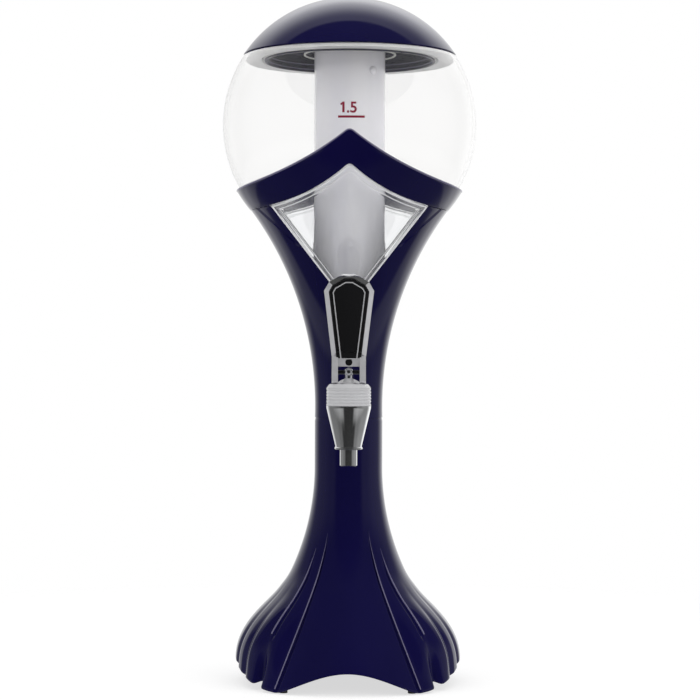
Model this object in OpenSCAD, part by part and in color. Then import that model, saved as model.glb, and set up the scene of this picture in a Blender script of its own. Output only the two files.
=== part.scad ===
// Tabletop drink tower: a clear globe tank with an ice tube, held by a crown band
// and a trumpet stem on a fluted four-footed base, with a self-closing lever tap.
// Millimetres, +Z up, origin on the table under the middle of the base, front to -Y.

/* [Globe tank] */
// Outer radius of the clear globe
globe_r = 85.4; // [80:0.1:92]
// Height of the globe's middle above the table
globe_z = 374; // [366:0.5:386]
// Wall of the clear tank
tank_wall = 2.4; // [1.8:0.1:3]
// Radius of the filling mouth
mouth_r = 59.2; // [54:0.1:60]
// Thickness of the ledge round the mouth
ledge_t = 2.6; // [2:0.1:3.4]
// Height of the mouth ledge above the globe's middle
ledge_rise = 46.2; // [44:0.1:47.5]

/* [Stand] */
// Radius of the waist of the stem
waist_r = 22.7; // [22.4:0.1:24.5]
// Height of the waist
waist_z = 184.5; // [184:0.5:190]
// Height of the seam between stem and base
seam_z = 177.5; // [175:0.5:178]
// Wall of the stem
shell_wall = 1.8; // [1.5:0.1:2.2]
// Gap between the stand and the tank it holds
seat_gap = 0.25; // [0.2:0.05:0.4]
// Gap along the seam of crown band and stem
seam_gap = 0.1; // [0.05:0.05:0.3]
// Wall of the crown band
crown_wall = 1.6; // [1.3:0.1:1.9]
// Step of the crown band beyond the stem's outline
crown_proud = 0.5; // [0.4:0.05:0.7]
// Height of the crown's front peak below the globe's middle
peak_drop = 9.8; // [7:0.1:13]
// Height of the crown band at its front peak
band_peak = 21.6; // [18:0.1:25]
// Fall of the crown's upper edge from peak to side
band_fall = 33.9; // [30:0.1:37]
// Height of the crown band at the side
band_side = 14.1; // [12:0.1:17]
// Sag of the crown's upper edge
top_sag = 5; // [4:0.1:6]
// Sag of the crown's lower edge
low_sag = 6.6; // [5.5:0.1:7.5]
// Rounding of the crown's peaks
peak_round = 3.4; // [2.6:0.1:5]
// Height of the foot of the kite window
kite_foot_z = 250.4; // [246:0.2:256]
// Rise of the kite window's lower edges for each millimetre outwards
kite_slope = 1.29; // [1.22:0.01:1.36]
// Height where the sunk fields beside a window would meet
field_foot_z = 259.5; // [257:0.5:262]
// Rise of the sunk fields' outer edges for each millimetre outwards
field_slope = 0.92; // [0.88:0.01:0.96]
// Depth of the sunk fields beside a window
field_deep = 0.8; // [0.5:0.1:1]
// Gap round a window lens
lens_gap = 0.15; // [0.1:0.05:0.3]
// Width of the raised border of a lens
lens_border = 4; // [3:0.5:6]
// Depth of the field inside the lens border
lens_step = 0.6; // [0.4:0.1:0.9]

/* [Base] */
// Radius of the feet
foot_r = 77; // [73:0.5:81]
// Bearing of the feet from the front
foot_turn = 37.6; // [35:0.2:40]
// Height of the front and rear arches
front_arch = 13.6; // [10:0.2:16]
// Height of the side arches
side_arch = 18; // [14:0.5:21]
// Largest radius of the fluted sides
side_r = 75.5; // [73:0.5:79]
// Radius of the trumpet curve of the base
flare_r = 163.9; // [155:0.5:175]
// Height where the trumpet curve starts
flare_z = 144.4; // [138:0.2:150]
// Height where the curve turns into a straight flare
cone_z = 65; // [60:0.5:70]
// Wall of the base
base_wall = 2.6; // [2.2:0.1:3]
// Depth of the long grooves
groove_deep = 1.3; // [0.8:0.1:1.6]
// Depth of the cleft between the toes
cleft_deep = 4; // [3:0.1:4.6]
// Height where the cleft between the toes starts
cleft_z = 37; // [32:0.5:42]
// Radius of a rubber foot
pad_r = 4.5; // [3.5:0.1:5]
// Distance of a rubber foot from the middle
pad_at = 65.5; // [64:0.1:67]
// Gap between a rubber foot and the wall it sits against
pad_gap = 0.3; // [0.2:0.05:0.5]
// Height of the rim above the table
rim_lift = 0.6; // [0.4:0.1:1]

/* [Lid and ice tube] */
// Step of the lid beyond the globe
lid_proud = 0.4; // [0.2:0.1:0.8]
// Wall of the lid dome
lid_wall = 2.2; // [1.8:0.1:2.8]
// Gap under the lid rim
lid_gap = 0.3; // [0.2:0.05:0.5]
// Outer radius of the ice tube
tube_r = 24; // [22:0.1:25]
// Wall of the ice tube
tube_wall = 1.8; // [1.4:0.1:2.4]
// Height of the lowest point of the ice tube
tube_foot_z = 250; // [248:0.5:262]
// Gap between the ice tube and its socket
tube_gap = 0.5; // [0.3:0.05:0.7]

/* [Tap] */
// Distance of the tap from the middle of the stem
tap_out = 63; // [60:0.5:68]
// Height of the shank
shank_z = 192.5; // [192.2:0.1:193]
// Radius of the shank
shank_r = 5.2; // [4.8:0.1:5.3]
// Radius of the bore of the shank
shank_bore = 3.6; // [3:0.1:3.9]
// Radius of the tap body
body_r = 14.4; // [13.6:0.1:15.4]
// Height of the underside of the tap body
body_z = 187; // [186.8:0.1:187.2]
// Height of the outlet's end
outlet_z = 148; // [142:0.5:152]
// Radius of the outlet tube
outlet_r = 5.6; // [5.2:0.1:6.2]
// Radius of the valve spindle
spindle_r = 2; // [1.8:0.05:2.2]
// Running gap of spindle and pin
run_gap = 0.06; // [0.04:0.01:0.1]
// Height of the lever pin above the tap cap
pin_rise = 7.6; // [7.2:0.1:8.2]
// Radius of the lever pin
pin_r = 1.4; // [1.2:0.05:1.5]
// Full tilt of the lever
tilt_max = 35; // [28:1:38]
// Lift of the valve for each radian of tilt
lift_ratio = 4; // [3.4:0.1:4.2]
// Width of the lever at its foot
lever_foot_w = 22; // [21:0.2:24]
// Width of the lever at its shoulders
lever_top_w = 32.3; // [30:0.2:35]
// Height of the lever above the pin
lever_rise = 63.4; // [58:0.2:68]
// Number of turns of the valve spring
spring_turns = 2.5; // [2:0.25:3]
// Radius of the spring wire
wire_r = 0.5; // [0.4:0.05:0.55]

/* [Hidden] */
fine = 96;

// Stand outline: a trumpet arc that runs smoothly into a ball round the globe
crown_r = globe_r + seat_gap + shell_wall;
drop = globe_z - waist_z;
trumpet_r = (waist_r * waist_r + drop * drop - crown_r * crown_r) / (2 * (crown_r - waist_r));
reach = crown_r + trumpet_r;
function turn_r(off) = (crown_r - off) * (waist_r + trumpet_r) / reach;
function turn_z(off) = globe_z - (crown_r - off) * drop / reach;

// Outer radius of the stand at a height below the turn
function stand_r(z) = waist_r + trumpet_r - sqrt(trumpet_r * trumpet_r - pow(z - waist_z, 2));

// Tank
tank_off = shell_wall + seat_gap;
floor_rise = 4.9;
tank_floor = seam_z + floor_rise;
ledge_top = globe_z + ledge_rise;
ledge_low = ledge_top - ledge_t;
web_t = 2.8;
web_low = tank_floor - web_t;
// Stud under the tank, with its nut and washer
stud_r = 5;
stud_len = 13;
nut_r = 10;
nut_h = 7;
washer_t = 2;
spigot_r = waist_r - base_wall - 0.5;
spigot_wall = 2.2;
spigot_len = 26;
// Gaps between fastened pieces and round loose ones
snug = 0.1;
loose = 0.3;

// Crown edges: each an arc with a peak, a side point and a sag
peak_z = globe_z - peak_drop;
side_x = 74;
low_side_x = 66;
side_z = peak_z - band_fall;
top_edge = [[0, peak_z], [side_x, side_z], top_sag];
low_edge = [[0, peak_z - band_peak], [low_side_x, side_z - band_side], low_sag];
function chord(e) = norm(e[1] - e[0]);
function fall(e) = e[0].y - e[1].y;
function arc_r(e) = chord(e) * chord(e) / (8 * e[2]) + e[2] / 2;
function arc_mid(e) = (e[0] + e[1]) / 2 + [fall(e), e[1].x] / chord(e) * (arc_r(e) - e[2]);
function lean(e) = atan(fall(e) / e[1].x) + asin(chord(e) / 2 / arc_r(e));

// Lid
lid_z = ledge_top + lid_gap;
lid_r = globe_r + lid_proud;
plate_t = 2;
plate_rise = 7.5;
plate_rib_at = [38, 46];
plate_rib_w = 1;
plate_rib_h = 1.2;
skirt_in = 3.6;
skirt_t = 2;
skirt_drop = 0.8;
// The plate lies where the dome is still wide enough for the skirt under it
skirt_rim = mouth_r - skirt_in + skirt_t + 1;
dome_room = sqrt(pow(lid_r - lid_wall, 2) - skirt_rim * skirt_rim) - plate_t;
plate_z = min(lid_z + plate_rise, globe_z + dome_room);
// Socket in the lid and the bayonet of the ice tube
cup_wall = 4;
cup_r = tube_r + tube_gap;
cup_roof = plate_z + 11.5;
cup_roof_t = 1.5;
socket_drop = 3;
collar_r = 30;
collar_t = 1.2;
collar_drop = 6;
lug_z = plate_z + 3.5;
lug_h = 3;
lug_out = 2.7;
lug_half = 6;
lug_room = 2;
tube_top = cup_roof - 2;
twist = 40;
nub_r = 2.6;
nub_turn = -50;
nub_drop = 19;
function ball_r(r, z) = sqrt(r * r - pow(z - globe_z, 2));

// Tap
tap_y = -tap_out;
cap_z = body_z + 11;
cap_top = cap_z + 3;
seat_z = body_z + 1.6;
pin_z = cap_top + pin_rise;
valve_gap = 0.1;
plug_r = 6.2;
plug_bed = 0.6;
disc_t = 0.8;
spring_low = seat_z + 3.2;
spring_r = 5.2;
eye_r = 2.9;
// Bores of the tap body: valve chamber, ring of the cap, seat
chamber_r = 9;
cap_ring_r = 11;
cap_ring_h = 1.8;
seat_r = 4.6;
rib_count = 5;
rib_pitch = 2;
rib_r = 0.55;
// Neck that the nozzle fits, with a seal below it
neck_r = 11.4;
neck_drop = 6.5;
seal_t = 1.3;
seal_z = body_z - neck_drop - seal_t;
guide_r = 3;
guide_foot_r = 6.4;
guide_h = 3.6;
gland_wide = 1.3;
gland_z = cap_z + 0.8;
gland_h = 1.2;
lip_r = 9.1;
lip_z = outlet_z + 10.6;
outlet_wall = 1.2;
// Boss in the tank, with the flange and the gasket outside the stem
boss_r = shank_r + 3.4;
boss_end = -12;
flange_r = 11.5;
gasket_t = 2.8;
gasket_r = 10.5;
// Lever, measured from the pin
lever_foot = 9.4;
lever_front = -5;
lever_back = 2;
lever_slab = -2.4;
lever_bevel = 3;
panel_in = 3.5;
panel_t = 1.6;
panel_sunk = 0.3;
bezel_in = 5.4;
bezel_w = 0.7;
fork_in = 7;
leg_w = lever_foot_w / 2 - fork_in;
yoke_low = 3.6;
eye_hole_r = 2.3;
eye_hole_rise = 6.4;
toe = 8;
heel = 2.4;
cam_steps = 7;

// Litres below the mark at the globe's middle, without the ice tube
slices = 60;
function tank_in(z) = z > turn_z(tank_off + tank_wall)
    ? ball_r(crown_r - tank_off - tank_wall, z)
    : stand_r(z) - tank_off - tank_wall;
fill_low = tank_floor + tank_wall;
fill_step = (globe_z - fill_low) / slices;
function fill(i = 0) = i == slices ? 0
    : PI * pow(tank_in(fill_low + (i + 0.5) * fill_step), 2) * fill_step + fill(i + 1);
echo(litres_to_mark = fill() / 1e6);

// Area inside the stand's outline, moved in by off, above the height low
module stand_area(off, low) {
    difference() {
        translate([0, low])
            square([turn_r(off), turn_z(off) - low]);
        translate([waist_r + trumpet_r, waist_z])
            circle(r = trumpet_r + off, $fn = 4 * fine);
    }
    intersection() {
        translate([0, globe_z])
            circle(r = crown_r - off, $fn = 2 * fine);
        translate([0, turn_z(off)])
            square([crown_r + 1, 2 * crown_r]);
    }
}

// Shell between two offsets of the stand's outline
module stand_shell(a, b, low) {
    rotate_extrude($fn = fine)
        difference() {
            stand_area(a, low);
            stand_area(b, low - 1);
        }
}

// Runs a front outline right through the object, or only its front or rear half
module through() {
    translate([0, 2 * globe_r, 0])
        rotate([90, 0, 0])
            linear_extrude(height = 4 * globe_r)
                children();
}

module front_half() {
    rotate([90, 0, 0])
        linear_extrude(height = 2 * globe_r)
            children();
}

// Takes the sharp point off a peak, up for dir 1 and down for dir -1
module tip_cut(z, angle, dir) {
    mid = z - dir * peak_round / cos(angle);
    side = peak_round * sin(angle);
    start = mid + dir * peak_round * cos(angle);
    tall = peak_round / cos(angle);
    difference() {
        translate([-side, min(start, start + dir * tall)])
            square([2 * side, tall]);
        translate([0, mid])
            circle(r = peak_round, $fn = 48);
    }
}

// Area below a crown edge, moved down by gap, as wide as the object and more on each side
module below_edge(edge, gap, more = 5) {
    mid = arc_mid(edge);
    wide = crown_r + more;
    low = seam_z - more;
    top = edge[0].y;
    difference() {
        translate([-wide, low])
            square([2 * wide, top - low]);
        for (s = [-1, 1])
            translate([s * mid.x, mid.y])
                circle(r = arc_r(edge) + gap, $fn = 4 * fine);
        tip_cut(top - gap / cos(lean(edge)), lean(edge), 1);
    }
}

// Area above two lines that rise from a foot to both sides
module above_foot(foot, slope) {
    wide = crown_r;
    polygon([[0, foot], [wide, foot + slope * wide], [-wide, foot + slope * wide]]);
}

// Kite window, made smaller by gap
module kite(gap) {
    foot = kite_foot_z + gap * sqrt(1 + kite_slope * kite_slope);
    difference() {
        intersection() {
            below_edge(low_edge, gap);
            above_foot(foot, kite_slope);
        }
        tip_cut(foot, atan(kite_slope), -1);
    }
}

// Sunk fields of the stem beside the windows, under the crown's lower edge
module fields() {
    intersection() {
        stand_shell(-field_deep, field_deep, seam_z);
        through()
            intersection() {
                below_edge(low_edge, 0);
                above_foot(field_foot_z, field_slope);
            }
    }
}

// Horizontal cylinder towards the front, from y0 to y1 at the shank's height
module shank_bar(r, y0, y1) {
    translate([0, y0, shank_z])
        rotate([-90, 0, 0])
            cylinder(r = r, h = y1 - y0, $fn = 64);
}

module ring(r_in, r_out, z0, z1) {
    rotate_extrude($fn = fine)
        translate([r_in, z0])
            square([r_out - r_in, z1 - z0]);
}

// Base outline: panel is the plain flare, side is the swelling of the flutes
function mix(a, b, t) = a + (b - a) * t;
function clamp01(t) = min(1, max(0, t));
function ease(t) = t * t * (3 - 2 * t);
function step(a, b, t) = ease(clamp01((t - a) / (b - a)));
base_top_r = stand_r(seam_z);
cone_rise = (flare_z - cone_z) / sqrt(flare_r * flare_r - pow(flare_z - cone_z, 2));
function flare(z) = z > flare_z ? base_top_r
    : z > cone_z ? base_top_r + flare_r - sqrt(flare_r * flare_r - pow(flare_z - z, 2))
    : base_top_r + flare_r - sqrt(flare_r * flare_r - pow(flare_z - cone_z, 2))
        + (cone_z - z) * cone_rise;
cone_end = flare(0);
function panel(z) = flare(z) - (cone_end - foot_r) * pow(clamp01((cone_z - z) / cone_z), 3);
side_curve = 0.0167;
function side(z) = side_r - side_curve * pow(z - side_arch, 2);
function soft_max(a, b, k) = (a + b + sqrt((a - b) * (a - b) + k * k)) / 2 - k / 4;
swell_top = 75;
function swell(z) = z > swell_top ? 0 : max(0, soft_max(panel(z), side(z), 1.5) - panel(z));
// Bearings of the flute lines, from the front
cleft_turn = foot_turn + 14;
edge_turn = foot_turn + 27.6;
rear_turn = foot_turn + 39.4;
toe_share = 0.72;
function lobe(u) = toe_share * step(foot_turn - 0.6, cleft_turn, u)
    + (1 - toe_share) * step(cleft_turn, edge_turn, u);
function vee(u, at, w) = max(0, 1 - abs(u - at) / w);
// Heights between which the long grooves, the pleats and the flutes fade out
groove_fade = [102, 78];
pleat_fade = [86, 70];
flute_fade = [72, 30];
puff_fade = [64, 40];
toe_deep = 0.9;
edge_deep = 1.6;
function fade(ends, z) = step(ends[0], ends[1], z);
function groove(u, z) = groove_deep * fade(groove_fade, z) * ease(vee(u, foot_turn, 1.4))
    + toe_deep * fade(pleat_fade, z) * step(cleft_z - 5, cleft_z + 1, z) * ease(vee(u, cleft_turn, 1.2))
    + cleft_deep * step(cleft_z + 1, 6, z) * vee(u, cleft_turn, 4.2)
    + edge_deep * fade(flute_fade, z) * (vee(u, edge_turn, 3.4) + vee(u, rear_turn, 3.4));
toe_puff = 1.1;
function puff(u, z) = toe_puff * fade(puff_fade, z) * (
    ease(vee(u, (foot_turn + cleft_turn) / 2, 7)) + ease(vee(u, (cleft_turn + edge_turn) / 2, 7)));
function skirt_r(u, z) = panel(z) + lobe(u) * swell(z) - groove(u, z) + puff(u, z);
notch_rise = 3;
function rim_z(u) = rim_lift + (u < foot_turn
    ? front_arch * pow(1 - pow(u / foot_turn, 2), 1.35)
    : side_arch * pow((u - foot_turn) / (90 - foot_turn), 1.5) + notch_rise * ease(vee(u, cleft_turn, 4.4)));
// Columns lie close together at the flute lines
quarter = [0, 9, 18, 25, 30, 34, foot_turn - 1.4, foot_turn - 0.7, foot_turn, foot_turn + 0.7,
    foot_turn + 1.4, foot_turn + 3.4, foot_turn + 6.4, foot_turn + 9.4, cleft_turn - 2.4,
    cleft_turn - 1, cleft_turn, cleft_turn + 1, cleft_turn + 2.6, cleft_turn + 5.6, cleft_turn + 9,
    edge_turn - 2, edge_turn, edge_turn + 2, edge_turn + 5.4,
    rear_turn - 2, rear_turn, rear_turn + 2, rear_turn + 6.4, 90];
lines = len(quarter);
spans = [0, 0.006, 0.018, 0.04, 0.075, 0.11, 0.145, 0.175, 0.205, 0.235, 0.265, 0.295, 0.325,
    0.355, 0.39, 0.44, 0.5, 0.57, 0.65, 0.74, 0.84, 1];
rows = len(spans);
inner_spans = [1, 0.8, 0.6, 0.45, 0.33, 0.24, 0.16, 0.09, 0.03, 0];
inner_rows = len(inner_spans);
// Bearing from the nearer of front and rear, for a column
function fold(i) = i < lines ? quarter[i]
    : i < 2 * lines - 1 ? quarter[2 * lines - 2 - i]
    : i < 3 * lines - 2 ? quarter[i - 2 * lines + 2]
    : quarter[4 * lines - 4 - i];
function side_of(i) = i < lines ? 0 : i < 2 * lines - 1 ? 1 : i < 3 * lines - 2 ? 2 : 3;
wall_more = 0.6;
sweep = 0.11;
sweep_top = 95;
function bearing(i, z) = let (u = fold(i), v = u - sweep * min(z, sweep_top) * sin(2 * u))
    side_of(i) == 0 ? v : side_of(i) == 1 ? 180 - v : side_of(i) == 2 ? 180 + v : 360 - v;
function ring_z(u, t) = mix(rim_z(u), seam_z, t);
function rim_tuck(t) = t < 0.001 ? 1.3 : t < 0.01 ? 0.4 : 0;
function outer_pt(i, t) = let (u = fold(i), z = ring_z(u, t), r = skirt_r(u, z) - rim_tuck(t))
    [r * sin(bearing(i, z)), -r * cos(bearing(i, z)), z];
function inner_pt(i, t) = let (u = fold(i), z = ring_z(u, t),
        r = min(skirt_r(u, z), panel(z) + lobe(u) * swell(z)) - base_wall - wall_more * step(0.5, 0.2, t))
    [r * sin(bearing(i, z)), -r * cos(bearing(i, z)), z];

module base_skirt() {
    n = 4 * lines - 4;
    outside = [for (t = spans) for (i = [0 : n - 1]) outer_pt(i, t)];
    inside = [for (t = inner_spans) for (i = [0 : n - 1]) inner_pt(i, t)];
    all_rows = rows + inner_rows;
    color([0.10, 0.08, 0.28])
        polyhedron(points = concat(outside, inside),
            faces = [for (j = [0 : all_rows - 1]) for (i = [0 : n - 1])
                let (a = j * n + i, b = j * n + (i + 1) % n,
                    c = ((j + 1) % all_rows) * n + (i + 1) % n, d = ((j + 1) % all_rows) * n + i)
                each [[a, c, b], [a, d, c]]], convexity = 6);
}

// Radius of the inside of the base wall behind a long groove, with room for a foot
function pad_wall(z) = panel(z) - groove_deep - base_wall - wall_more - pad_gap;

module foot_pads() {
    top = 26;
    color([0.08, 0.08, 0.09])
        difference() {
            for (x = [-1, 1])
                for (y = [-1, 1])
                    translate([x * pad_at * sin(foot_turn), y * pad_at * cos(foot_turn), 0])
                        cylinder(r = pad_r, h = top, $fn = 40);
            rotate_extrude($fn = fine)
                polygon([[pad_wall(0), -1], [pad_wall(0), 0], [pad_wall(top / 2), top / 2],
                    [pad_wall(top), top], [pad_wall(top), top + 5], [2 * foot_r, top + 5],
                    [2 * foot_r, -1]]);
        }
}

module stem_shell() {
    color([0.10, 0.08, 0.28]) {
        difference() {
            union() {
                difference() {
                    intersection() {
                        stand_shell(0, shell_wall, seam_z);
                        through()
                            below_edge(low_edge, seam_gap);
                    }
                    through()
                        kite(0);
                    fields();
                }
                ring(stud_r + loose, waist_r - shell_wall + 0.6, web_low, tank_floor);
                ring(spigot_r - spigot_wall, spigot_r, seam_z - spigot_len, web_low + 0.5);
            }
            shank_bar(shank_r + loose, -waist_r - 6, boss_end);
        }
    }
}

module crown_band() {
    band_r = crown_r + crown_proud;
    low = side_z - 2 * band_side;
    color([0.10, 0.08, 0.28])
        intersection() {
            rotate([0, 0, 90])
                rotate_extrude($fn = fine)
                    intersection() {
                        translate([0, globe_z])
                            difference() {
                                circle(r = band_r, $fn = 2 * fine);
                                circle(r = band_r - crown_wall, $fn = 2 * fine);
                            }
                        translate([0, low])
                            square([2 * band_r, globe_z - low]);
                    }
            through()
                difference() {
                    below_edge(top_edge, 0);
                    below_edge(low_edge, 0, 8);
                }
        }
}

module window_lens() {
    difference() {
        intersection() {
            stand_shell(0.1, shell_wall, seam_z);
            front_half()
                kite(lens_gap);
        }
        intersection() {
            stand_shell(-2, 0.1 + lens_step, seam_z);
            front_half()
                kite(lens_gap + lens_border);
        }
    }
}

module front_window() {
    color([0.86, 0.89, 0.93, 0.4])
        window_lens();
}

module rear_window() {
    color([0.86, 0.89, 0.93, 0.4])
        rotate([0, 0, 180])
            window_lens();
}

module globe_tank() {
    color([0.86, 0.90, 0.94, 0.4])
        difference() {
            union() {
                rotate_extrude($fn = fine)
                    difference() {
                        intersection() {
                            stand_area(tank_off, tank_floor);
                            square([crown_r, ledge_top]);
                        }
                        intersection() {
                            stand_area(tank_off + tank_wall, tank_floor + tank_wall);
                            square([crown_r, ledge_low]);
                        }
                        translate([0, ledge_low - 1])
                            square([mouth_r, ledge_t + 5]);
                    }
                intersection() {
                    shank_bar(boss_r, -waist_r, boss_end);
                    translate([0, 0, tank_floor + 0.5])
                        cylinder(r = waist_r - tank_off - 0.4, h = 30, $fn = fine);
                }
                translate([0, 0, web_low - stud_len])
                    cylinder(r = stud_r, h = web_t + stud_len + 0.5, $fn = 48);
            }
            shank_bar(shank_r + snug, -waist_r - 6, boss_end + 1);
        }
}

module tank_washer() {
    color([0.75, 0.75, 0.72])
        ring(stud_r + loose, nut_r, web_low - washer_t, web_low);
}

module tank_nut() {
    color([0.92, 0.92, 0.90])
        translate([0, 0, web_low - washer_t - nut_h])
            difference() {
                cylinder(r = nut_r, h = nut_h, $fn = 6);
                translate([0, 0, -1])
                    cylinder(r = stud_r + snug, h = nut_h + 2, $fn = 48);
            }
}

module lid_dome() {
    color([0.09, 0.07, 0.26])
        rotate_extrude($fn = fine)
            intersection() {
                translate([0, globe_z])
                    difference() {
                        circle(r = lid_r, $fn = 2 * fine);
                        circle(r = lid_r - lid_wall, $fn = 2 * fine);
                    }
                translate([0, lid_z])
                    square([lid_r, lid_r]);
            }
}

// Part of a ring between two bearings
module sector(r_in, r_out, z0, z1, from, to) {
    rotate([0, 0, from])
        rotate_extrude(angle = to - from, $fn = fine)
            translate([r_in, z0])
                square([r_out - r_in, z1 - z0]);
}

module lid_plate() {
    plate_r = ball_r(lid_r - lid_wall, plate_z + plate_t) - snug;
    cup_out = cup_r + cup_wall;
    socket_z = plate_z - socket_drop;
    color([0.09, 0.07, 0.25])
        difference() {
            rotate_extrude($fn = fine) {
                translate([cup_r + 1, plate_z])
                    square([plate_r - cup_r - 1, plate_t]);
                translate([mouth_r - skirt_in, ledge_low - skirt_drop])
                    square([skirt_t, plate_z + 1 - ledge_low]);
                translate([cup_r, socket_z])
                    square([cup_wall, cup_roof + 1 - socket_z]);
                translate([collar_r, plate_z - collar_drop])
                    square([collar_t, collar_drop + 1]);
                for (r = plate_rib_at)
                    translate([r, plate_z - plate_rib_h])
                        square([plate_rib_w, plate_t]);
                translate([0, cup_roof])
                    square([cup_out, cup_roof_t]);
            }
            for (s = [0, 180]) {
                sector(cup_r - 1, cup_r + lug_out + 0.1, lug_z - 0.5, lug_z + lug_h + 0.5,
                    s - lug_half - lug_room, s + twist + lug_half + lug_room + 1);
                sector(cup_r - 1, cup_r + lug_out + 0.2, socket_z - 1, lug_z + 2,
                    s + twist - lug_half - lug_room, s + twist + lug_half + lug_room);
            }
        }
}

module lid_seal() {
    color([0.85, 0.86, 0.88])
        ring(mouth_r - skirt_in + skirt_t, mouth_r - loose, ledge_low + 0.2, ledge_low + 2.2);
}

module ice_tube() {
    color([0.93, 0.94, 0.98, 0.7])
        union() {
            difference() {
                union() {
                    translate([0, 0, tube_foot_z + tube_r])
                        sphere(r = tube_r, $fn = fine);
                    translate([0, 0, tube_foot_z + tube_r])
                        cylinder(r = tube_r, h = tube_top - tube_foot_z - tube_r, $fn = fine);
                    for (s = [0, 180])
                        sector(tube_r - 1, tube_r + lug_out, lug_z, lug_z + lug_h,
                            s - lug_half, s + lug_half);
                    rotate([0, 0, nub_turn])
                        translate([tube_r - 0.6, 0, plate_z - nub_drop])
                            sphere(r = nub_r, $fn = 32);
                }
                translate([0, 0, tube_foot_z + tube_r])
                    sphere(r = tube_r - tube_wall, $fn = fine);
                translate([0, 0, tube_foot_z + tube_r])
                    cylinder(r = tube_r - tube_wall, h = tube_top - tube_foot_z, $fn = fine);
            }
        }
}

module at_tap() {
    translate([0, tap_y, 0])
        children();
}

module tap_body() {
    color([0.88, 0.89, 0.92, 0.8])
        difference() {
            union() {
                at_tap() {
                    difference() {
                        translate([0, 0, body_z])
                            cylinder(r = body_r, h = cap_z - body_z, $fn = fine);
                        for (k = [0 : rib_count - 1])
                            rotate_extrude($fn = fine)
                                translate([body_r + 0.2, seat_z + rib_pitch * k])
                                    circle(r = rib_r, $fn = 24);
                    }
                    translate([0, 0, body_z - neck_drop])
                        cylinder(r = neck_r, h = neck_drop + 1.5, $fn = fine);
                }
                shank_bar(shank_r, tap_y + chamber_r + 1, boss_end - 0.2);
                shank_bar(flange_r, -waist_r - 2 * gasket_t, -waist_r - gasket_t);
            }
            at_tap() {
                translate([0, 0, seat_z])
                    cylinder(r = chamber_r, h = 20, $fn = fine);
                translate([0, 0, cap_z - cap_ring_h - 0.4])
                    cylinder(r = cap_ring_r + snug, h = 5, $fn = fine);
                translate([0, 0, body_z - 10])
                    cylinder(r = seat_r, h = 14, $fn = 64);
            }
            shank_bar(shank_bore, tap_y + 4, -10);
        }
}

// Flared guide of the spindle on top of the cap
module guide() {
    flare = guide_foot_r - guide_r;
    rotate_extrude($fn = 64)
        translate([0, cap_top])
            difference() {
                translate([0, -0.5])
                    square([guide_foot_r, guide_h + 0.5]);
                translate([guide_foot_r, flare])
                    circle(r = flare, $fn = 64);
                translate([guide_r, flare])
                    square([guide_foot_r, guide_h]);
            }
}

module tap_cap() {
    color([0.90, 0.91, 0.93, 0.8])
        at_tap()
            difference() {
                union() {
                    translate([0, 0, cap_z])
                        cylinder(r1 = body_r, r2 = body_r - 2, h = cap_top - cap_z, $fn = fine);
                    ring(chamber_r + 0.2, cap_ring_r, cap_z - cap_ring_h, cap_z + 0.5);
                    guide();
                }
                translate([0, 0, cap_z - 3])
                    cylinder(r = spindle_r + run_gap, h = 12, $fn = 64);
                translate([0, 0, gland_z])
                    cylinder(r = spindle_r + gland_wide, h = gland_h, $fn = 64);
            }
}

module spindle_seal() {
    color([0.1, 0.1, 0.1])
        at_tap()
            rotate_extrude($fn = 64)
                translate([spindle_r + 0.75, gland_z + gland_h / 2])
                    circle(r = 0.5, $fn = 24);
}

module tap_nozzle() {
    color([0.82, 0.83, 0.85])
        at_tap()
            rotate_extrude($fn = fine)
                polygon([[neck_r + snug, body_z], [body_r, body_z], [body_r, body_z - 1.6],
                    [lip_r - 0.4, lip_z + 2.4], [lip_r, lip_z + 1], [lip_r - 0.5, lip_z],
                    [outlet_r, lip_z], [outlet_r, outlet_z], [outlet_r - outlet_wall, outlet_z],
                    [outlet_r - outlet_wall, lip_z + 1.6], [neck_r - 2, seal_z],
                    [neck_r + snug, seal_z]]);
}

module nozzle_seal() {
    color([0.80, 0.80, 0.78])
        at_tap()
            ring(neck_r - 1.8, neck_r - snug, seal_z, seal_z + seal_t);
}

module tap_gasket() {
    color([0.85, 0.85, 0.85])
        difference() {
            shank_bar(gasket_r, -waist_r - gasket_t, -waist_r + 4);
            shank_bar(shank_r + snug, -waist_r - 5, -waist_r + 5);
            rotate_extrude($fn = fine)
                stand_area(-0.05, seam_z);
        }
}

module valve_spindle() {
    color([0.80, 0.81, 0.83])
        at_tap()
            difference() {
                union() {
                    translate([0, 0, seat_z + plug_bed])
                        cylinder(r = spindle_r, h = pin_z - seat_z - 1, $fn = 64);
                    translate([0, 0, spring_low - disc_t])
                        cylinder(r = plug_r, h = disc_t, $fn = 64);
                    translate([0, 0, pin_z])
                        sphere(r = eye_r, $fn = 64);
                }
                translate([-10, 0, pin_z])
                    rotate([0, 90, 0])
                        cylinder(r = pin_r + run_gap, h = 20, $fn = 48);
            }
}

module valve_plug() {
    color([0.78, 0.78, 0.76])
        at_tap()
            difference() {
                translate([0, 0, seat_z + valve_gap])
                    cylinder(r = plug_r, h = spring_low - disc_t - seat_z - valve_gap, $fn = 64);
                translate([0, 0, seat_z + plug_bed])
                    cylinder(r = spindle_r, h = 5, $fn = 64);
            }
}

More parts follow.
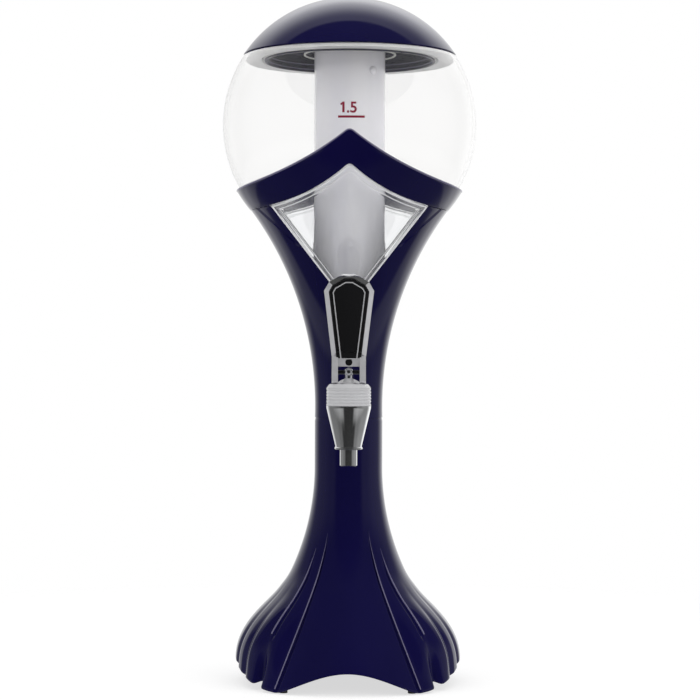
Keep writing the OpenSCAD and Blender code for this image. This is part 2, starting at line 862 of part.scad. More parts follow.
module valve_spring() {
    sides = 6;
    per_turn = 12;
    count = ceil(spring_turns * per_turn);
    z0 = spring_low + wire_r + 0.05;
    z1 = cap_z - wire_r - 0.1;
    pitch = (z1 - z0) / spring_turns;
    echo(spring_self_gap = pitch - 2 * wire_r);
    pts = [for (k = [0 : count]) for (s = [0 : sides - 1])
        let (a = 360 * spring_turns * k / count, q = 360 * s / sides,
            r = spring_r + wire_r * cos(q))
        [r * cos(a), r * sin(a), mix(z0, z1, k / count) + wire_r * sin(q)]];
    tube = [for (k = [0 : count - 1]) for (s = [0 : sides - 1])
        let (a = k * sides + s, b = k * sides + (s + 1) % sides)
        each [[b + sides, b, a], [a + sides, b + sides, a]]];
    caps = [[for (s = [0 : sides - 1]) s], [for (s = [sides - 1 : -1 : 0]) count * sides + s]];
    color([0.72, 0.73, 0.75])
        at_tap()
            polyhedron(points = pts, faces = concat(tube, caps), convexity = 6);
}

// Lever outline seen from the front, with the pin as origin
module lever_outline(inset) {
    w = lever_top_w / 2;
    offset(delta = -inset)
        polygon([[-lever_foot_w / 2, lever_foot], [lever_foot_w / 2, lever_foot],
            [w, lever_rise - 11], [0.8 * w, lever_rise - 5.3], [0.23 * w, lever_rise],
            [-0.23 * w, lever_rise], [-0.8 * w, lever_rise - 5.3], [-w, lever_rise - 11]]);
}

// Puts a front outline at the lever, from depth y0 to y1
module at_lever(y0, y1) {
    translate([0, tap_y + y1, pin_z])
        rotate([90, 0, 0])
            linear_extrude(height = y1 - y0)
                children();
}

// Foot of a fork leg: an involute cam that lifts the pin evenly as the lever tilts
function cam_h(q) = pin_rise - valve_gap + lift_ratio * q * PI / 180;
function cam_pt(q) = [-cam_h(q) * sin(q) - lift_ratio * cos(q), -cam_h(q) * cos(q) + lift_ratio * sin(q)];
module fork_leg() {
    top = lever_foot + 1;
    polygon(concat([[heel, top], [lever_front + 0.2, top], [-toe, -1]],
        [for (k = [cam_steps : -1 : 0]) cam_pt((tilt_max + 1) * k / cam_steps)],
        [[heel, -pin_rise + valve_gap]]));
}

module lever_frame() {
    color([0.84, 0.85, 0.87])
        difference() {
            union() {
                at_lever(lever_slab, lever_back)
                    lever_outline(0);
                hull() {
                    at_lever(lever_slab - 0.05, lever_slab)
                        lever_outline(0);
                    at_lever(lever_front, lever_front + 0.05)
                        lever_outline(lever_bevel);
                }
                at_lever(lever_front + 0.4, lever_back)
                    translate([-lever_foot_w / 2, yoke_low])
                        square([lever_foot_w, lever_foot - yoke_low + 0.5]);
                for (x = [-lever_foot_w / 2, fork_in])
                    translate([x, tap_y, pin_z])
                        rotate([90, 0, 90])
                            linear_extrude(height = leg_w)
                                fork_leg();
            }
            at_lever(lever_front - 1, lever_front + panel_t)
                lever_outline(panel_in);
            translate([0, tap_y - 1.5, pin_z + eye_hole_rise])
                rotate([90, 0, 0])
                    cylinder(r = eye_hole_r, h = 8, $fn = 40);
            translate([-20, tap_y, pin_z])
                rotate([0, 90, 0])
                    cylinder(r = pin_r, h = 40, $fn = 48);
        }
}

module lever_insert() {
    color([0.03, 0.03, 0.04])
        at_lever(lever_front + panel_sunk, lever_front + panel_t)
            lever_outline(panel_in + snug);
}

module lever_bezel() {
    color([0.84, 0.85, 0.87])
        at_lever(lever_front, lever_front + panel_sunk)
            difference() {
                lever_outline(bezel_in);
                lever_outline(bezel_in + bezel_w);
            }
}

module lever_pin() {
    color([0.70, 0.71, 0.73])
        translate([-lever_foot_w / 2 + 0.2, tap_y, pin_z])
            rotate([0, 90, 0])
                cylinder(r = pin_r, h = lever_foot_w - 0.4, $fn = 48);
}

base_skirt();
foot_pads();
stem_shell();
crown_band();
front_window();
rear_window();
globe_tank();
tank_washer();
tank_nut();
lid_dome();
lid_plate();
lid_seal();
ice_tube();
tap_body();
tap_cap();
tap_nozzle();
tap_gasket();
nozzle_seal();
spindle_seal();
valve_spindle();
valve_plug();
valve_spring();
lever_frame();
lever_insert();
lever_bezel();
lever_pin();
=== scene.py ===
"""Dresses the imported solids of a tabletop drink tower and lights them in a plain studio.

Sizes are millimetres in the frame of the solids: +Z up, the tap towards -Y, the table at Z = 0.
Bearings start at the front and grow towards +X.
"""

from __future__ import annotations

import logging
import math
from dataclasses import dataclass, field
from enum import Enum
from typing import Any, Callable, Iterable, Mapping, Optional, Sequence, Union

import bmesh
import bpy
from mathutils import Matrix, Vector

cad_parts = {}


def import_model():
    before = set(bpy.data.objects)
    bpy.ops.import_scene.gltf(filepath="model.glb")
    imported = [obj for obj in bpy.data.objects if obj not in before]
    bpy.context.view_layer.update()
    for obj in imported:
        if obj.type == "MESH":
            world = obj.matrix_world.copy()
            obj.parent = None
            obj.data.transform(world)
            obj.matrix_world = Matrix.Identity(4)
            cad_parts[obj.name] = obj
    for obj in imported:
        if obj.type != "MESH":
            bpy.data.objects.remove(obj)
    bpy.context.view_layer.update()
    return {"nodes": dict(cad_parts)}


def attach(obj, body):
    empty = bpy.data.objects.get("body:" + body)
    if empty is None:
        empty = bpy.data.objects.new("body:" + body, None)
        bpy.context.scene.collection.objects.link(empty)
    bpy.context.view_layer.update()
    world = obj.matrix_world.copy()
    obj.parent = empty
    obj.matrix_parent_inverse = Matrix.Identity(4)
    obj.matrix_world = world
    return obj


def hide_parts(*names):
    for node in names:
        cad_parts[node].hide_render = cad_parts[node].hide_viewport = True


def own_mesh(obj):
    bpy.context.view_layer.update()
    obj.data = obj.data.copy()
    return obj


LOG = logging.getLogger("drink_tower")
MM = 0.001  # metres in a millimetre
FULL_TURN = 2.0 * math.pi
SEAM = 0.001  # vertices that are closer, in millimetres, are joined
CREASE = 35.0  # edges that turn by more degrees are rounded
FLAT = 1.0  # faces that turn by fewer degrees are joined
WHITE = (1.0, 1.0, 1.0, 1.0)
Point = tuple[float, float]
Triple = tuple[float, float, float]
Ramp = tuple[float, float, float, float]
Mesh = bmesh.types.BMesh


class Body(Enum):
    """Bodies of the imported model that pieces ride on."""

    STAND = "stand"
    LID = "lid"
    TUBE = "tube"
    LEVER = "lever"


class Facing(Enum):
    """Side of the tower that a window lens is on, as a turn about Z in degrees."""

    FRONT = 0.0
    REAR = 180.0


class Wire:
    """One output of a node, with arithmetic that adds Math nodes."""

    def __init__(self, graph: Graph, socket: bpy.types.NodeSocket) -> None:
        """Keeps the socket and the graph that it belongs to."""
        self.graph = graph
        self.socket = socket

    def __add__(self, other: Value) -> Wire:
        """Adds a wire or a number."""
        return self.graph.math("ADD", self, other)

    def __rsub__(self, other: Value) -> Wire:
        """Takes this wire away from a number."""
        return self.graph.math("SUBTRACT", other, self)

    def __mul__(self, other: Value) -> Wire:
        """Multiplies by a wire or a number."""
        return self.graph.math("MULTIPLY", self, other)

    def at_most(self, other: Value) -> Wire:
        """Lesser of this wire and another value."""
        return self.graph.math("MINIMUM", self, other)

    def ramp(self, low: float, high: float, start: float = 0.0, end: float = 1.0) -> Wire:
        """Maps this wire smoothly from one range to another.

        Args:
            low: Value that gives start.
            high: Value that gives end.
            start: Result at and below low.
            end: Result at and above high.

        Returns:
            The mapped wire.
        """
        return self.graph.node(
            "ShaderNodeMapRange",
            {"interpolation_type": "SMOOTHSTEP"},
            {"Value": self, "From Min": low, "From Max": high, "To Min": start, "To Max": end},
        )


Value = Union[Wire, float]


class Graph:
    """Node tree of one material or of the world."""

    def __init__(self, tree: bpy.types.NodeTree) -> None:
        """Starts an empty tree."""
        self.tree = tree
        tree.nodes.clear()

    def node(
        self,
        kind: str,
        settings: Optional[Mapping[str, Any]] = None,
        inputs: Optional[Mapping[Union[str, int], Any]] = None,
        output: Union[str, int] = 0,
    ) -> Optional[Wire]:
        """Adds a node.

        Args:
            kind: Type name of the node.
            settings: Attributes that are set before the sockets.
            inputs: Values or wires of the sockets, by name or place.
            output: Name or place of the output to return.

        Returns:
            The chosen output, or None for a node without outputs.
        """
        made = self.tree.nodes.new(kind)
        for key, value in (settings or {}).items():
            setattr(made, key, value)
        for key, value in (inputs or {}).items():
            socket = made.inputs[key]
            if isinstance(value, Wire):
                self.tree.links.new(value.socket, socket)
            else:
                socket.default_value = value
        return Wire(self, made.outputs[output]) if len(made.outputs) else None

    def math(self, operation: str, *values: Value) -> Wire:
        """Adds a Math node for an operation on wires and numbers."""
        return self.node("ShaderNodeMath", {"operation": operation}, dict(enumerate(values)))

    def mix(self, share: Value, first: Any, second: Any) -> Wire:
        """Mixes two colours by a share of the second."""
        return self.node("ShaderNodeMix", {"data_type": "RGBA"}, {0: share, 6: first, 7: second}, 2)

    def place(self, stretch: Triple = (1.0, 1.0, 1.0)) -> Wire:
        """Object coordinates, in metres, stretched along the axes."""
        here = self.node("ShaderNodeTexCoord", output="Object")
        return self.node("ShaderNodeMapping", {}, {"Vector": here, "Scale": stretch})

    def relief(self, height: Wire, depth: float, strength: float) -> Wire:
        """Bump of a depth in millimetres from a height between 0 and 1."""
        inputs = {"Height": height, "Distance": depth * MM, "Strength": strength}
        return self.node("ShaderNodeBump", {}, inputs)


def toned(colour: Triple, factor: float = 1.0) -> tuple[float, ...]:
    """Colour made lighter or darker by a factor, with full alpha."""
    return (*(min(1.0, part * factor) for part in colour), 1.0)


@dataclass(frozen=True)
class Grain:
    """Noise that varies a surface: cells for each metre, detail, stretch, and the span in use."""

    scale: float
    detail: float
    span: Optional[Point] = None
    stretch: Triple = (1.0, 1.0, 1.0)

    def wire(self, graph: Graph, start: float = 0.0, end: float = 1.0) -> Wire:
        """Adds the noise to a material.

        Args:
            graph: Node tree of the material.
            start: Result at the lower end of the span.
            end: Result at its upper end.

        Returns:
            The noise, mapped from its span if it has one.
        """
        inputs = {"Vector": graph.place(self.stretch), "Scale": self.scale, "Detail": self.detail}
        noise = graph.node("ShaderNodeTexNoise", {}, inputs)
        return noise.ramp(*self.span, start, end) if self.span else noise


@dataclass(frozen=True)
class Finish:
    """A surface: a colour that drifts, gloss that wears and, for most, a skin with a relief.

    The colour drifts between two tones, the roughness between the two values of gloss, and the
    relief has a depth in millimetres. Fixed sockets of the shader keep one value.
    """

    name: str
    slot: str
    colour: Triple
    fixed: tuple[tuple[str, Any], ...] = ()
    drift: Grain = Grain(14.0, 3.0)
    tones: Point = (1.0, 1.0)
    wear: Grain = Grain(95.0, 6.0, (0.35, 0.75))
    gloss: Point = (0.05, 0.12)
    skin: Optional[Grain] = None
    relief: float = 0.0
    strength: float = 0.5

    def sockets(self, graph: Graph) -> dict[str, Any]:
        """Values and wires of the shader's sockets.

        Args:
            graph: Node tree of the material.

        Returns:
            Socket names with their values.
        """
        first, second = (toned(self.colour, tone) for tone in self.tones)
        found = {
            "Base Color": graph.mix(self.drift.wire(graph), first, second),
            "Roughness": self.wear.wire(graph, *self.gloss),
        }
        if self.skin:
            found["Normal"] = graph.relief(self.skin.wire(graph), self.relief, self.strength)
        return {**found, **dict(self.fixed)}

    def material(self) -> bpy.types.Material:
        """Makes the material of this finish once.

        Returns:
            The new material, or the one that an earlier call made.
        """
        known = bpy.data.materials.get(self.name)
        if known is not None:
            return known
        made = bpy.data.materials.new(self.name)
        made.use_nodes = True
        graph = Graph(made.node_tree)
        shader = graph.node("ShaderNodeBsdfPrincipled", {}, self.sockets(graph))
        graph.node("ShaderNodeOutputMaterial", {}, {"Surface": shader})
        return made


@dataclass(frozen=True)
class Moulded(Finish):
    """Moulded plastic: the colour drifts a little, the skin has orange peel and faint rub marks."""

    drift: Grain = Grain(14.0, 3.0, (0.3, 0.7), (1.0, 1.0, 0.35))
    tones: Point = (0.9, 1.1)
    skin: Optional[Grain] = Grain(420.0, 1.0)
    relief: float = 0.012


@dataclass(frozen=True)
class Clear(Finish):
    """Clear plastic with very faint smears."""

    drift: Grain = Grain(30.0, 2.0, None, (1.0, 1.0, 0.5))
    tones: Point = (1.0, 1.02)
    wear: Grain = Grain(30.0, 2.0, (0.45, 0.8), (1.0, 1.0, 0.5))
    gloss: Point = (0.0, 0.02)


@dataclass(frozen=True)
class Plated(Finish):
    """Bright plating or drawn steel over a slightly wavy surface, with fine smudges."""

    drift: Grain = Grain(210.0, 5.0, (0.35, 0.7))
    tones: Point = (1.0, 0.93)
    wear: Grain = Grain(210.0, 5.0, (0.4, 0.75))
    gloss: Point = (0.03, 0.11)
    skin: Optional[Grain] = Grain(160.0, 1.0, None, (1.0, 1.0, 0.4))
    relief: float = 0.05
    strength: float = 0.35


@dataclass(frozen=True)
class Rubbery(Finish):
    """Rubber or silicone: a dull skin with a fine grain and rubbed patches."""

    drift: Grain = Grain(60.0, 4.0, (0.35, 0.7))
    tones: Point = (1.0, 1.18)
    wear: Grain = Grain(60.0, 4.0, (0.3, 0.7))
    gloss: Point = (0.72, 0.5)
    skin: Optional[Grain] = Grain(1600.0, 3.0)
    relief: float = 0.04
    strength: float = 0.6


@dataclass(frozen=True)
class Printed(Finish):
    """Screen print: even ink with a slight thinning in its grain."""

    drift: Grain = Grain(900.0, 3.0, (0.4, 0.8))
    tones: Point = (1.0, 1.25)
    wear: Grain = Grain(900.0, 3.0, (0.3, 0.8))
    gloss: Point = (0.3, 0.5)


NAVY = Moulded(
    "navy_moulded", "navy_gloss", (0.0054, 0.0044, 0.043), (("IOR", 1.5),),
    gloss=(0.05, 0.10), relief=0.006,
)
# Low-gloss navy for the lid's underside; its darker, greyer colour than the navy elsewhere is
# painted shade under the lid
NAVY_DULL_SHADED = Moulded(
    "navy_dull_painted_shade", "navy_gloss", (0.0056, 0.0052, 0.028), (("Specular IOR Level", 0.07),),
    gloss=(0.32, 0.45), relief=0.006,
)
# Lighter lilac navy for thin beads, lines and rings: a painted highlight along edges, not a colour
# of the plastic
NAVY_PAINTED_HIGHLIGHT = Moulded("navy_painted_highlight", "navy_gloss", (0.15, 0.14, 0.23), gloss=(0.12, 0.2), relief=0.004)
TANK_CLEAR = Clear(
    "tank_clear", "clear_tank", (0.985, 0.983, 0.979),
    (("IOR", 1.47), ("Transmission Weight", 1.0)),
)
LENS_CLEAR = Clear(
    "lens_clear", "clear_lens", (0.975, 0.98, 1.0),
    (("IOR", 1.49), ("Transmission Weight", 1.0)),
)
# Frosted white tube; its colour drift is stretched into long upright streaks, which paint the
# tube's highlight streaks besides a random tone
TUBE_WHITE = Moulded(
    "tube_white", "frosted_tube", (0.90, 0.89, 0.97),
    (
        ("Subsurface Weight", 0.25), ("Subsurface Radius", (0.9, 0.9, 1.0)),
        ("Subsurface Scale", 0.004), ("Coat Weight", 0.6), ("Coat Roughness", 0.06),
    ),
    drift=Grain(48.0, 3.0, (0.3, 0.7), (1.0, 1.0, 0.05)), tones=(0.94, 1.06),
    gloss=(0.16, 0.26), relief=0.01,
)
COLLAR_WHITE = Moulded(
    "collar_white", "tap_white", (0.76, 0.76, 0.78),
    (("IOR", 1.46), ("Transmission Weight", 0.22)),
    tones=(0.98, 1.02), gloss=(0.12, 0.2), relief=0.002,
)
CHROME = Plated("bright_chrome", "chrome_plate", (0.87, 0.88, 0.89), (("Metallic", 0.97),))
SATIN = Plated(
    "satin_chrome", "chrome_plate", (0.86, 0.86, 0.89), (("Metallic", 0.5),),
    gloss=(0.14, 0.22), relief=0.015,
)
STEEL = Plated(
    "drawn_steel", "spring_steel", (0.55, 0.55, 0.57), (("Metallic", 1.0),),
    gloss=(0.2, 0.34), relief=0.02,
)
PANEL_BLACK = Moulded(
    "panel_black", "black_gloss", (0.011, 0.011, 0.012),
    (("Coat Weight", 0.5), ("Coat Roughness", 0.03)),
    tones=(0.8, 1.2), gloss=(0.08, 0.16), relief=0.006,
)
NYLON = Moulded("nylon_white", "nylon", (0.72, 0.72, 0.68), tones=(0.95, 1.05), gloss=(0.35, 0.5))
SILICONE = Rubbery("pale_silicone", "silicone", (0.66, 0.66, 0.66), gloss=(0.55, 0.38))
RUBBER = Rubbery("dull_rubber", "black_rubber", (0.018, 0.018, 0.019))
LEDGE_FROST = Moulded(
    "ledge_frost", "clear_tank", (0.86, 0.86, 0.86), (("IOR", 1.47),),
    tones=(0.98, 1.02), gloss=(0.3, 0.42), relief=0.002,
)
# Pale opaque colour for the lens rims: painted glints along the clear border's edges
LENS_EDGE_GLINT = Moulded(
    "lens_edge_painted_glint", "clear_lens", (0.88, 0.88, 0.90), (("IOR", 1.49),),
    tones=(0.97, 1.03), gloss=(0.1, 0.2),
)
RED_PRINT = Printed("red_print", "clear_tank", (0.25, 0.010, 0.035))


def ease(t: float) -> float:
    """Smooth step of a share that is held between 0 and 1."""
    t = min(1.0, max(0.0, t))
    return t * t * (3.0 - 2.0 * t)


def step(start: float, end: float, at: float) -> float:
    """Smooth rise from 0 at start to 1 at end, which may lie below start."""
    return ease((at - start) / (end - start))


def vee(at: float, middle: float, half: float) -> float:
    """Peak of height 1 that falls straight to 0 at half a width from its middle."""
    return max(0.0, 1.0 - abs(at - middle) / half)


def mixed(first: float, second: float, share: float) -> float:
    """Number between two others."""
    return first + (second - first) * share


def spaced(first: float, last: float, count: int) -> list[float]:
    """Numbers in even steps from first to last, one more than there are steps."""
    return [mixed(first, last, k / count) for k in range(count + 1)]


def polar(r: float, turn: float, z: float) -> Vector:
    """Place at a radius, a bearing in radians and a height."""
    return Vector((r * math.sin(turn), -r * math.cos(turn), z))


def arc(centre: Point, radius: float, start: float, end: float, count: int) -> list[Point]:
    """Points along an arc, from one angle in degrees to another in a number of steps."""
    turns = [math.radians(angle) for angle in spaced(start, end, count)]
    return [(centre[0] + radius * math.cos(a), centre[1] + radius * math.sin(a)) for a in turns]


def spin(bm: Mesh, geom: list[Any], steps: int, turn: float = FULL_TURN, rise: float = 0.0) -> None:
    """Spins geometry round the Z axis, and joins its ends after one full turn.

    Args:
        bm: Mesh that the geometry is in.
        geom: Vertices, edges and faces to spin.
        steps: Number of steps.
        turn: Angle of the whole spin in radians.
        rise: Rise of each step.
    """
    bmesh.ops.spin(
        bm, geom=geom, cent=(0, 0, 0), axis=(0, 0, 1), angle=turn, steps=steps,
        dvec=(0.0, 0.0, rise), use_merge=turn == FULL_TURN,
    )


def outward(bm: Mesh) -> Mesh:
    """Turns the faces of a closed mesh outwards and returns it."""
    bmesh.ops.recalc_face_normals(bm, faces=bm.faces)
    return bm


def joined(bm: Mesh) -> Mesh:
    """Joins vertices that lie together, and turns the faces outwards."""
    bmesh.ops.remove_doubles(bm, verts=bm.verts, dist=SEAM / 2.0)
    return outward(bm)


def hoop(profile: Sequence[Point], steps: int, ring: bool = True) -> Mesh:
    """Spins a profile round the Z axis.

    Args:
        profile: Points as radius and height.
        steps: Number of steps round the axis.
        ring: Whether the profile closes on itself; otherwise it ends on the axis.

    Returns:
        The mesh as it is spun.
    """
    bm = bmesh.new()
    verts = [bm.verts.new((r, 0.0, z)) for r, z in profile]
    edges = [bm.edges.new(pair) for pair in zip(verts, verts[1:])]
    if ring:
        edges.append(bm.edges.new((verts[-1], verts[0])))
    spin(bm, verts + edges, steps)
    return bm


def lathe(profile: Sequence[Point], steps: int = 160, ring: bool = True) -> Mesh:
    """Spins a profile into a closed mesh with its faces outwards, as hoop does."""
    return joined(hoop(profile, steps, ring))


def draped(columns: int, rows: int, spot: Callable[[int, int], Sequence[float]]) -> Mesh:
    """Sheet of a grid whose vertices are moved to their places.

    Args:
        columns: Number of steps across.
        rows: Number of steps up.
        spot: Gives the place for a column and a row.

    Returns:
        The open sheet.
    """
    bm = bmesh.new()
    bmesh.ops.create_grid(bm, x_segments=columns, y_segments=rows, size=1.0)
    for vert in bm.verts:
        across, up = (vert.co.x + 1.0) / 2.0, (vert.co.y + 1.0) / 2.0
        vert.co = spot(round(across * columns), round(up * rows))
    return bm


def walled(bm: Mesh, middle_z: float, wall: float) -> set[bmesh.types.BMVert]:
    """Joins the seams of a sheet, turns it away from a point on the axis and gives it a wall.

    Args:
        bm: Sheet round the axis, or on one side of it.
        middle_z: Height of the point.
        wall: Thickness of the wall, which grows inwards.

    Returns:
        The vertices of the outer side.
    """
    bmesh.ops.remove_doubles(bm, verts=bm.verts, dist=SEAM)
    outward(bm).normal_update()
    middle = Vector((0.0, 0.0, middle_z))
    look = sum(f.normal.dot(f.calc_center_median() - middle) * f.calc_area() for f in bm.faces)
    if look < 0.0:
        bmesh.ops.reverse_faces(bm, faces=bm.faces)
    outside = set(bm.verts)
    bmesh.ops.solidify(bm, geom=bm.faces[:], thickness=wall)
    return outside


def soften(bm: Mesh, width: float, angle: float = CREASE, segments: int = 3) -> Mesh:
    """Rounds every edge that turns sharply.

    Args:
        bm: Mesh to change.
        width: Width of the rounding.
        angle: Least turn of an edge in degrees.
        segments: Number of facets across the rounding.

    Returns:
        The same mesh.
    """
    limit = math.radians(angle)
    edges = [e for e in bm.edges if e.is_manifold and e.calc_face_angle(0.0) > limit]
    bmesh.ops.bevel(
        bm, geom=edges, offset=width, offset_type="OFFSET", segments=segments, profile=0.5,
        affect="EDGES", clamp_overlap=True, material=-1,
    )
    return bm


def absorb(bm: Mesh, other: Mesh) -> None:
    """Moves the geometry of another mesh into this one.

    Args:
        bm: Mesh that grows.
        other: Mesh that is used up.
    """
    passing = bpy.data.meshes.new("passing")
    other.to_mesh(passing)
    other.free()
    bm.from_mesh(passing)
    bpy.data.meshes.remove(passing)


def shifted(bm: Mesh, offset: Triple) -> Mesh:
    """Moves a whole mesh and returns it."""
    bmesh.ops.translate(bm, vec=Vector(offset), verts=bm.verts)
    return bm


def turned(bm: Mesh, degrees: float, axis: str) -> Mesh:
    """Turns a whole mesh about an axis through the origin.

    Args:
        bm: Mesh to turn.
        degrees: Angle of the turn.
        axis: Letter of the axis.

    Returns:
        The same mesh.
    """
    turn = Matrix.Rotation(math.radians(degrees), 3, axis)
    bmesh.ops.rotate(bm, cent=(0, 0, 0), matrix=turn, verts=bm.verts)
    return bm


def meshed(curve: bpy.types.Curve) -> Mesh:
    """Turns a curve or type into a mesh.

    Args:
        curve: Data of the curve.

    Returns:
        The mesh.
    """
    passing = bpy.data.objects.new(curve.name, curve)
    bpy.context.scene.collection.objects.link(passing)
    ready = passing.evaluated_get(bpy.context.evaluated_depsgraph_get())
    made = bpy.data.meshes.new_from_object(ready)
    bpy.data.objects.remove(passing)
    bm = bmesh.new()
    bm.from_mesh(made)
    bpy.data.meshes.remove(made)
    return bm


def cord(paths: Iterable[Sequence[tuple[Vector, float]]], ring: bool = False) -> Mesh:
    """Round cords along paths, with a radius at every point.

    Args:
        paths: Points with the radius of the cord there, for each path.
        ring: Whether each path closes on itself.

    Returns:
        One mesh with all cords, closed at their ends.
    """
    curve = bpy.data.curves.new("cord", "CURVE")
    curve.dimensions = "3D"
    curve.bevel_depth = 1.0
    curve.bevel_resolution = 2
    curve.use_fill_caps = True
    for path in paths:
        line = curve.splines.new("POLY")
        line.points.add(len(path) - 1)
        line.use_cyclic_u = ring
        for point, (where, radius) in zip(line.points, path):
            point.co = (*where, 1.0)
            point.radius = radius
    return joined(meshed(curve))


def solid_mesh(node: bpy.types.Object) -> Mesh:
    """Copies a solid and joins its triangles into faces.

    Args:
        node: Object of the solid.

    Returns:
        The copy in millimetres.
    """
    bm = bmesh.new()
    bm.from_mesh(node.data)
    bmesh.ops.scale(bm, vec=(1.0 / MM,) * 3, verts=bm.verts)
    bmesh.ops.remove_doubles(bm, verts=bm.verts, dist=2.0 * SEAM)
    bmesh.ops.dissolve_limit(
        bm, angle_limit=math.radians(FLAT), use_dissolve_boundaries=False,
        verts=bm.verts, edges=bm.edges,
    )
    return bm


def place(
    name: str,
    bm: Mesh,
    finish: Finish,
    body: Body,
    replaced: Iterable[str] = (),
    sharp: float = 32.0,
) -> bpy.types.Object:
    """Makes a piece from a mesh in millimetres and fastens it to its body.

    Args:
        name: Name of the piece.
        bm: Mesh of the piece, which is used up.
        finish: Finish of the piece.
        body: Body that the piece rides on.
        replaced: Solids that the piece stands for.
        sharp: Angle in degrees above which an edge stays sharp.

    Returns:
        The new object.
    """
    bmesh.ops.scale(bm, vec=(MM, MM, MM), verts=bm.verts)
    mesh = bpy.data.meshes.new(name)
    bm.to_mesh(mesh)
    bm.free()
    mesh.shade_smooth()
    mesh.set_sharp_from_angle(angle=math.radians(sharp))
    mesh.materials.append(finish.material())
    made = bpy.data.objects.new(name, mesh)
    bpy.context.scene.collection.objects.link(made)
    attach(made, body.value)
    names = tuple(replaced)
    if names:
        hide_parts(*names)
    LOG.info("%s: %d faces on %s", name, len(mesh.polygons), body.value)
    return made


@dataclass(frozen=True)
class StandLine:
    """Outline that stem, lenses and tank share: a trumpet arc that runs into a ball."""

    globe_r: float = 85.4
    globe_z: float = 374.0
    waist_r: float = 22.7
    waist_z: float = 184.5
    shell_wall: float = 1.8
    seat_gap: float = 0.25
    seam_z: float = 177.5

    @property
    def tank_inset(self) -> float:
        """Distance from the stand's outline in to the tank's."""
        return self.shell_wall + self.seat_gap

    @property
    def ball_r(self) -> float:
        """Radius of the ball part of the stand."""
        return self.globe_r + self.seat_gap + self.shell_wall

    @property
    def horn_r(self) -> float:
        """Radius of the trumpet arc, which meets the ball smoothly."""
        drop = self.globe_z - self.waist_z
        return (self.waist_r**2 + drop**2 - self.ball_r**2) / (2.0 * (self.ball_r - self.waist_r))

    def turn_z(self, inset: float) -> float:
        """Height where the trumpet arc, moved in by inset, meets the ball."""
        share = (self.globe_z - self.waist_z) / (self.ball_r + self.horn_r)
        return self.globe_z - (self.ball_r - inset) * share

    def ball(self, radius: float, z: float) -> float:
        """Distance from the axis, at a height, of a ball round the globe's middle."""
        return math.sqrt(max(0.0, radius**2 - (z - self.globe_z) ** 2))

    def radius(self, z: float, inset: float = 0.0) -> float:
        """Radius of the outline at a height.

        Args:
            z: Height.
            inset: Distance that the outline is moved in.

        Returns:
            The distance from the axis.
        """
        if z < self.turn_z(inset):
            reach = (self.horn_r + inset) ** 2 - (z - self.waist_z) ** 2
            return self.waist_r + self.horn_r - math.sqrt(reach)
        return self.ball(self.ball_r - inset, z)

    def curve(self, inset: float, low: float, high: float, count: int) -> list[Point]:
        """Points of the outline between two heights.

        Args:
            inset: Distance that the outline is moved in.
            low: Lowest height, on the trumpet arc.
            high: Highest height, on the ball.
            count: Number of steps on each of the two.

        Returns:
            Points as radius and height, from low to high.
        """
        turn = self.turn_z(inset)
        ball = self.ball_r - inset
        start, end = (math.asin((z - self.globe_z) / ball) for z in (turn, high))
        rest = [self.globe_z + ball * math.sin(angle) for angle in spaced(start, end, count)]
        return [(self.radius(z, inset), z) for z in spaced(low, turn, count)[:-1] + rest]

    def on_face(self, x: float, z: float, inset: float = 0.0) -> Vector:
        """Point on the front of the outline for a place seen from the front."""
        r = self.radius(z, inset)
        return Vector((x, -math.sqrt(max(0.0, r * r - x * x)), z))


@dataclass(frozen=True)
class PeakEdge:
    """Edge seen from the front that falls from a rounded peak in a sagging arc."""

    peak_z: float
    side: Point
    sag: float
    tip_r: float = 3.4

    @property
    def fall(self) -> float:
        """Drop from the peak to the side point."""
        return self.peak_z - self.side[1]

    @property
    def chord(self) -> float:
        """Straight length from the peak to the side point."""
        return math.hypot(self.side[0], self.fall)

    @property
    def radius(self) -> float:
        """Radius of the arc."""
        return self.chord**2 / (8.0 * self.sag) + self.sag / 2.0

    @property
    def centre(self) -> Point:
        """Middle of the arc, above and outside it.

        Returns:
            Its distance from the middle and its height.
        """
        reach = (self.radius - self.sag) / self.chord
        x, z = self.side
        return x / 2.0 + self.fall * reach, (self.peak_z + z) / 2.0 + x * reach

    def height(self, x: float, inset: float = 0.0) -> float:
        """Height of the edge.

        Args:
            x: Distance from the middle.
            inset: Distance that the edge is moved down.

        Returns:
            The height at that distance.
        """
        x = abs(x)
        lean = math.atan(self.fall / self.side[0]) + math.asin(self.chord / 2.0 / self.radius)
        if x < self.tip_r * math.sin(lean):
            middle = self.peak_z - (inset + self.tip_r) / math.cos(lean)
            return middle + math.sqrt(self.tip_r**2 - x * x)
        centre_x, centre_z = self.centre
        return centre_z - math.sqrt((self.radius + inset) ** 2 - (x - centre_x) ** 2)


